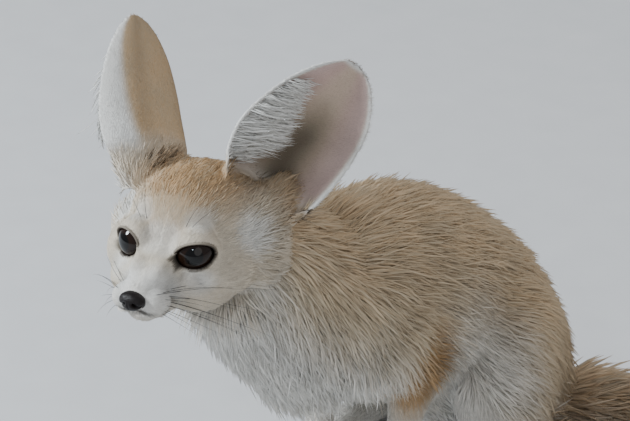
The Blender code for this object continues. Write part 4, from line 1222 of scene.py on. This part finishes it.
coat = []
ears_left, ears_right = part["ears"]["left"][3], part["ears"]["right"][3]
on_head = (part["head"] > 0.5) & (part["ear"] <= 0.5)
on_tail = (part["tail"] > 0.5) & ~on_head
on_leg = (np.maximum(part["foreleg"], part["paw"]) > 0.5) & ~on_tail & ~on_head
on_neck = (part["front"] > 0.5) & ~on_leg & ~on_tail & ~on_head & (part["ear"] <= 0.5)
on_torso = ~(on_head | on_tail | on_leg | on_neck) & (part["ear"] <= 0.5)
front_face = face[:, 1] < 16
hind = body[:, 1] > 84
left = body[:, 0] > 0
grow_coat("coat_face_left", on_head & front_face & (face[:, 0] > 0), fine_tufts, 0.42, 0.42, clump_size=6.0, seed=11)
grow_coat("coat_face_right", on_head & front_face & (face[:, 0] <= 0), fine_tufts, 0.42, 0.42, clump_size=6.0, seed=21)
grow_coat("coat_crown", on_head & ~front_face, short_tufts, 0.72, 0.5, seed=12, soften=0.35)
grow_coat("coat_ear_left", ears_left > 0.5, fine_tufts, 0.62, 0.4, seed=13)
grow_coat("coat_ear_right", ears_right > 0.5, fine_tufts, 0.62, 0.4, seed=14)
grow_coat("coat_breast", on_neck, short_tufts, 0.98, 0.66, seed=15, soften=0.4)
grow_coat("coat_left_side", on_torso & left & ~hind, short_tufts, 0.98, 0.66, seed=16, soften=0.4)
grow_coat("coat_left_hip", on_torso & left & hind, short_tufts, 0.98, 0.66, seed=22, soften=0.4)
grow_coat("coat_right_side", on_torso & ~left & ~hind, short_tufts, 0.98, 0.66, seed=17, soften=0.4)
grow_coat("coat_right_hip", on_torso & ~left & hind, short_tufts, 0.98, 0.66, seed=23, soften=0.4)
grow_coat("coat_legs", on_leg, fine_tufts, 0.75, 0.6, seed=18, soften=0.4)
grow_coat("coat_tail", on_tail, long_tufts, 1.3, 0.95, spread=0.3, seed=19, soften=0.4)


# %% The long white tufts inside the ears
def write_attribute(name, values):
    skin.data.attributes[name].data.foreach_set("value", np.asarray(values, np.float32))


for seed, side, rise in ((31, "left", 0.85), (32, "right", 1.6)):
    share, v, _, _ = part["ears"][side]
    row = ramp(inner_side(side), 0.3, 0.6) * ramp(v, -1.0, -0.92) * (1 - ramp(v, -0.62, -0.45)) * ramp(share, 0.04, 0.11)
    row *= 1 - ramp(share, 0.58, 0.78)
    write_attribute("grow", row)
    write_attribute("hair", (23 - 10 * (1 - ramp(share, 0.06, 0.22)) - 15 * ramp(share, 0.22, 0.76)) * MM)
    write_attribute("lift", np.full(len(points), rise))
    write_attribute("pink", np.zeros(len(points)))
    write_attribute("dark", np.zeros(len(points)))
    write_attribute("white", np.ones(len(points)))
    grow_coat(f"ear_tufts_{side}", row > 0.02, long_tufts, 0.62, 0.45, spread=0.22, clump=0.45, clump_size=6.0, seed=seed, soften=0.2)
for name, values in (("white", marks["white"]), ("dark", marks["dark"]), ("pink", marks["pink"])):
    write_attribute(name, np.clip(values, 0, 1))

# %% [markdown]
# ## Eyes
# A fennec's eye looks like a black bead: the brown iris is so dark that it hardly parts from the pupil, and a
# wet cornea bulges over it. The ball is turned to face its look, and the colours follow the angle from there.

# %% Two eyeballs with a bulging cornea
def eye_material():
    material, tree, shader = new_material("wet_eye", Roughness=0.05, Specular_IOR_Level=0.35)
    bands = attribute(tree, "band")
    where = node(tree, "ShaderNodeTexCoord").outputs["Object"]
    grain = node(tree, "ShaderNodeTexNoise", Vector=where, Scale=2200.0, Detail=3.0).outputs["Fac"]
    iris = mixed(tree, grain, srgb(38, 22, 13), srgb(20, 12, 8))
    pupil = node(tree, "ShaderNodeMapRange", Value=bands, From_Min=0.42, From_Max=0.5).outputs[0]
    color = mixed(tree, pupil, srgb(5, 4, 4), iris)
    outer = node(tree, "ShaderNodeMapRange", Value=bands, From_Min=0.9, From_Max=1.0).outputs[0]
    tree.links.new(mixed(tree, outer, color, srgb(16, 10, 8)), shader.inputs["Base Color"])
    return material


def make_eye(name, mirror, material):
    bm = bmesh.new()
    bmesh.ops.create_icosphere(bm, subdivisions=5, radius=1)
    place, look, _, _ = eye_frame(mirror)
    angles = []
    for vert in bm.verts:
        angle = vert.co.angle(look)
        angles.append(min(angle / 0.95, 1))
        bulge = 0.045 * math.exp(-((angle / 0.55) ** 2))
        vert.co = HEAD @ (place + vert.co * EYE_RADIUS * (0.985 + bulge))
    obj = scene_object(name, bm)
    add_attribute(obj.data, "band", angles)
    obj.data.materials.append(material)
    obj.data.polygons.foreach_set("use_smooth", np.ones(len(obj.data.polygons), bool))
    return obj


wet_eye = eye_material()
eyeballs = [make_eye("eyeball_left", 1, wet_eye), make_eye("eyeball_right", -1, wet_eye)]
print("eyes:", [len(e.data.polygons) for e in eyeballs], "faces")

# %% [markdown]
# ## The nose pad
# The bare skin of the nose is a broad pad with two comma-shaped nostrils that open to the sides and a groove
# down its middle. It is a ball whose points are pushed in along those forms, and its pebbles are a bump.

# %% A pad with nostrils and a groove
def make_nose():
    bm = bmesh.new()
    bmesh.ops.create_icosphere(bm, subdivisions=6, radius=1)
    for vert in bm.verts:
        x, y, z = vert.co
        wide = abs(x)
        width = 1 + 0.1 * max(z, 0) - 0.22 * max(-z, 0)
        nostril = math.exp(-(((wide - 0.5) / 0.19) ** 2) - ((z + 0.1 + 0.5 * (wide - 0.5)) / 0.2) ** 2)
        slit = math.exp(-(((z + 0.32) / 0.1) ** 2)) * min(1, max(0, (wide - 0.45) / 0.2))
        groove = math.exp(-((x / 0.06) ** 2)) * min(1, max(0, 0.4 - z))
        inward = (0.62 * nostril + 0.3 * slit + 0.16 * groove) * max(0, -y) ** 0.5
        pulled = Vector((x * width, y, z)) * (1 - inward)
        vert.co = HEAD @ (Vector([p + s * q for p, s, q in zip(NOSE_PLACE, NOSE_SIZE, pulled)]) * MM)
    obj = scene_object("nose_pad", bm)
    material, tree, shader = new_material("nose_leather", Roughness=0.4, Specular_IOR_Level=0.25)
    where = node(tree, "ShaderNodeTexCoord").outputs["Object"]
    pebbles = node(tree, "ShaderNodeTexVoronoi", {"feature": "DISTANCE_TO_EDGE"}, Vector=where, Scale=1500.0)
    grain = node(tree, "ShaderNodeTexNoise", Vector=where, Scale=500.0, Detail=4.0).outputs["Fac"]
    tree.links.new(mixed(tree, grain, srgb(11, 8, 8), srgb(28, 20, 19)), shader.inputs["Base Color"])
    rough = node(tree, "ShaderNodeMapRange", Value=grain, To_Min=0.3, To_Max=0.55).outputs[0]
    tree.links.new(rough, shader.inputs["Roughness"])
    bump = node(tree, "ShaderNodeBump", Strength=0.6, Distance=0.0003, Height=pebbles.outputs[0])
    tree.links.new(bump.outputs[0], shader.inputs["Normal"])
    obj.data.materials.append(material)
    obj.data.polygons.foreach_set("use_smooth", np.ones(len(obj.data.polygons), bool))
    return obj


nose_pad = make_nose()
print("nose:", len(nose_pad.data.polygons), "faces")

# %% [markdown]
# ## Whiskers
# Whiskers grow in rows from the pads beside the nose, and a few stand over the eyes. Each is a curved line that
# thins to nothing. A small tree gives every line of a set its round, tapering body.

# %% Lines of whiskers, and a tree that gives them thickness
def whisker_lines():
    dice = random.Random(5)
    bm = bmesh.new()
    for mirror in (1, -1):
        for row in range(5):
            for step in range(3):
                root = Vector(((11.5 + 1.6 * step) * mirror, -25 + 5 * step + dice.uniform(-1, 1), -13.5 - 2.4 * row))
                fall = 0.16 - 0.24 * row + dice.uniform(-0.08, 0.08)
                way = Vector((mirror, 0.55 + 0.3 * step + dice.uniform(-0.15, 0.15), fall))
                length = (30 + 12 * step + dice.uniform(-6, 9)) * (1 if row < 4 else 0.7)
                add_line(bm, root, way.normalized(), length, dice)
        for step in range(2):
            root = Vector(((12 + 3.5 * step) * mirror, 7.5, 13))
            add_line(bm, root, Vector(((0.35 + 0.4 * step) * mirror, 0.3, 1)).normalized(), 24 + 5 * step, dice)
    mesh = bpy.data.meshes.new("whisker_lines")
    bm.to_mesh(mesh)
    bm.free()
    obj = bpy.data.objects.new("whisker_lines", mesh)
    bpy.context.scene.collection.objects.link(obj)
    return obj


def add_line(bm, root, way, length, dice):
    """A line of 14 points, in millimetres of the head's frame, that droops and sweeps back."""
    sag = Vector((0, 0.22 + dice.uniform(0, 0.1), -0.3 + dice.uniform(-0.1, 0.1)))
    last = None
    for i in range(14):
        t = i / 13
        point = root + way * length * t + sag * length * t * t
        vert = bm.verts.new(HEAD @ (point * MM))
        if last:
            bm.edges.new((last, vert))
        last = vert


def thread_tree():
    tree = bpy.data.node_groups.new("tapered_threads", "GeometryNodeTree")
    sock(tree, "Lines", "NodeSocketGeometry")
    for name, value in (("Root Radius", 0.00016), ("Tip Radius", 0.00002)):
        sock(tree, name, "NodeSocketFloat", value)
    sock(tree, "Horn", "NodeSocketMaterial")
    sock(tree, "Threads", "NodeSocketGeometry", way="OUTPUT")
    given = tree.nodes.new("NodeGroupInput").outputs
    curves = node(tree, "GeometryNodeMeshToCurve", Mesh=given["Lines"]).outputs[0]
    along = node(tree, "GeometryNodeSplineParameter").outputs["Factor"]
    size = node(tree, "ShaderNodeMapRange", Value=along, To_Min=given["Root Radius"], To_Max=given["Tip Radius"]).outputs[0]
    round_line = node(tree, "GeometryNodeCurvePrimitiveCircle", Resolution=5, Radius=1.0).outputs[0]
    body = node(tree, "GeometryNodeCurveToMesh", {}, Curve=curves, Profile_Curve=round_line, Fill_Caps=True)
    if "Scale" in body.inputs:
        tree.links.new(size, body.inputs["Scale"])
    else:
        sized = node(tree, "GeometryNodeSetCurveRadius", Curve=curves, Radius=size).outputs[0]
        tree.links.new(sized, body.inputs["Curve"])
    real = node(tree, "GeometryNodeRealizeInstances", Geometry=body.outputs[0])
    done = node(tree, "GeometryNodeSetMaterial", Geometry=real.outputs[0], Material=given["Horn"])
    tree.links.new(done.outputs[0], tree.nodes.new("NodeGroupOutput").inputs[0])
    return tree


def horn_material(name, dark, light):
    material, tree, shader = new_material(name, Roughness=0.4)
    where = node(tree, "ShaderNodeTexCoord").outputs["Object"]
    grain = node(tree, "ShaderNodeTexNoise", Vector=where, Scale=900.0, Detail=2.0).outputs["Fac"]
    tree.links.new(mixed(tree, grain, dark, light), shader.inputs["Base Color"])
    rough = node(tree, "ShaderNodeMapRange", Value=grain, To_Min=0.3, To_Max=0.5).outputs[0]
    tree.links.new(rough, shader.inputs["Roughness"])
    return material


lines = whisker_lines()
modifier = lines.modifiers.new("threads", "NODES")
modifier.node_group = thread_tree()
set_inputs(modifier, Horn=horn_material("black_whisker", srgb(14, 12, 12), srgb(44, 38, 36)))
whiskers = as_plain_mesh(lines, "whiskers")
bpy.data.objects.remove(lines)
print("whiskers:", len(whiskers.data.polygons), "faces")

# %% [markdown]
# ## Claws
# Each toe ends in a thin curved claw of horn that only just shows from the fur. They stand clear of the floor.

# %% A claw on each toe
def claw_mesh():
    bm = bmesh.new()
    for (x, y, z), top in ((FORE_TOES, -0.9), (HIND_TOES, -0.9)):
        for mirror in (1, -1):
            for i, spread in enumerate(TOE_SPREAD):
                outer = abs(spread) > 5
                root = Vector((x * mirror + spread, y - TOE_SIZE[1] * (0.62 if outer else 0.86), z + 0.5))
                centres = [root + Vector((0, -1.1 * k, 0.5 * k - 0.34 * k * k)) for k in range(5)]
                rings = []
                for k, centre in enumerate(centres[:4]):
                    wide = (1.0, 0.95, 0.7, 0.4)[k]
                    rings.append(ring_of(BODY @ (centre * MM), Vector((1, 0, 0)), Vector((0, 0.3, 1)), wide * 0.7 * MM, wide * MM, 8))
                add_rings(bm, rings, (BODY @ ((centres[0] + Vector((0, 1, 0))) * MM), BODY @ (centres[4] * MM)))
    obj = scene_object("claws", bm)
    obj.data.materials.append(horn_material("claw_horn", srgb(70, 58, 50), srgb(150, 132, 112)))
    obj.data.polygons.foreach_set("use_smooth", np.ones(len(obj.data.polygons), bool))
    return obj


claws = claw_mesh()
print("claws:", len(claws.data.polygons), "faces")

# %% [markdown]
# ## Which solids each piece stands for
# Every piece rides on the one body of a still model. The skin stands for all nodes of flesh, and the eyes and
# the nose pad for their own.

# %% Ride and replace
FLESH = (
    "head", "ear_left", "ear_right", "neck", "torso", "foreleg_left", "foreleg_right", "forepaw_left", "forepaw_right",
    "hindleg_left", "hindleg_right", "hindpaw_left", "hindpaw_right", "tail_base", "tail_middle", "tail_tip",
)
for piece in (skin, *coat, *eyeballs, nose_pad, whiskers, claws):
    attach(piece, "root")
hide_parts(*FLESH)
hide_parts("eye_left")
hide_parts("eye_right")
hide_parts("nose")

# %% [markdown]
# ## Floor, light and camera
# A pale floor and soft light from the viewer's left keep the attention on the animal. The camera stands where
# the picture was taken from, half in front of the fox and a little above it.

# %% Floor
def plain_floor():
    bm = bmesh.new()
    bmesh.ops.create_grid(bm, x_segments=2, y_segments=2, size=6)
    obj = scene_object("floor", bm)
    material, tree, shader = new_material("pale_floor", Roughness=0.8)
    where = node(tree, "ShaderNodeTexCoord").outputs["Object"]
    grain = node(tree, "ShaderNodeTexNoise", Vector=where, Scale=30.0, Detail=4.0).outputs["Fac"]
    tree.links.new(mixed(tree, grain, srgb(206, 207, 209), srgb(216, 217, 218)), shader.inputs["Base Color"])
    obj.data.materials.append(material)


plain_floor()


# %% Lights
def area_light(name, place, size, watts, color):
    light = bpy.data.lights.new(name, "AREA")
    light.shape, light.size, light.energy, light.color = "DISK", size, watts, color
    obj = bpy.data.objects.new(name, light)
    obj.location = place
    obj.rotation_euler = (Vector((0, -0.05, 0.18)) - Vector(place)).to_track_quat("-Z", "Y").to_euler()
    bpy.context.scene.collection.objects.link(obj)


area_light("key", (-1.45, -1.65, 1.6), 0.7, 95, (0.88, 0.95, 1.0))
area_light("fill", (2.0, -0.9, 1.1), 2.0, 9, (1.0, 0.96, 0.91))
area_light("back", (0.4, 1.8, 1.7), 1.4, 16, (1.0, 0.98, 0.95))
area_light("spark", (0.66, -1.22, 1.17), 0.1, 2.5, (0.75, 0.88, 1.0))
world = bpy.data.worlds.new("studio")
world.use_nodes = True
world.node_tree.nodes["Background"].inputs["Color"].default_value = (0.9, 0.94, 1.0, 1)
world.node_tree.nodes["Background"].inputs["Strength"].default_value = 0.38
bpy.context.scene.world = world

# %% Camera
AZIMUTH, ELEVATION, DISTANCE = math.radians(45), math.radians(26), 1.5
FRAME_WIDE, FRAME_HIGH, PIXELS_PER_METRE = 630, 421, 1880
EYES_AT = (160, 250)
back = Vector((math.sin(AZIMUTH) * math.cos(ELEVATION), -math.cos(AZIMUTH) * math.cos(ELEVATION), math.sin(ELEVATION)))
right = Vector((math.cos(AZIMUTH), math.sin(AZIMUTH), 0))
up = back.cross(right)
target = HEAD.translation + right * (FRAME_WIDE / 2 - EYES_AT[0]) / PIXELS_PER_METRE
target += up * (EYES_AT[1] - FRAME_HIGH / 2) / PIXELS_PER_METRE
lens = bpy.data.cameras.new("camera")
lens.lens = PIXELS_PER_METRE * DISTANCE / FRAME_WIDE * lens.sensor_width
camera = bpy.data.objects.new("camera", lens)
camera.matrix_world = Matrix.Translation(target + back * DISTANCE) @ Matrix((right, up, back)).transposed().to_4x4()
bpy.context.scene.collection.objects.link(camera)
bpy.context.scene.camera = camera
print("lens:", round(lens.lens, 1), "mm")
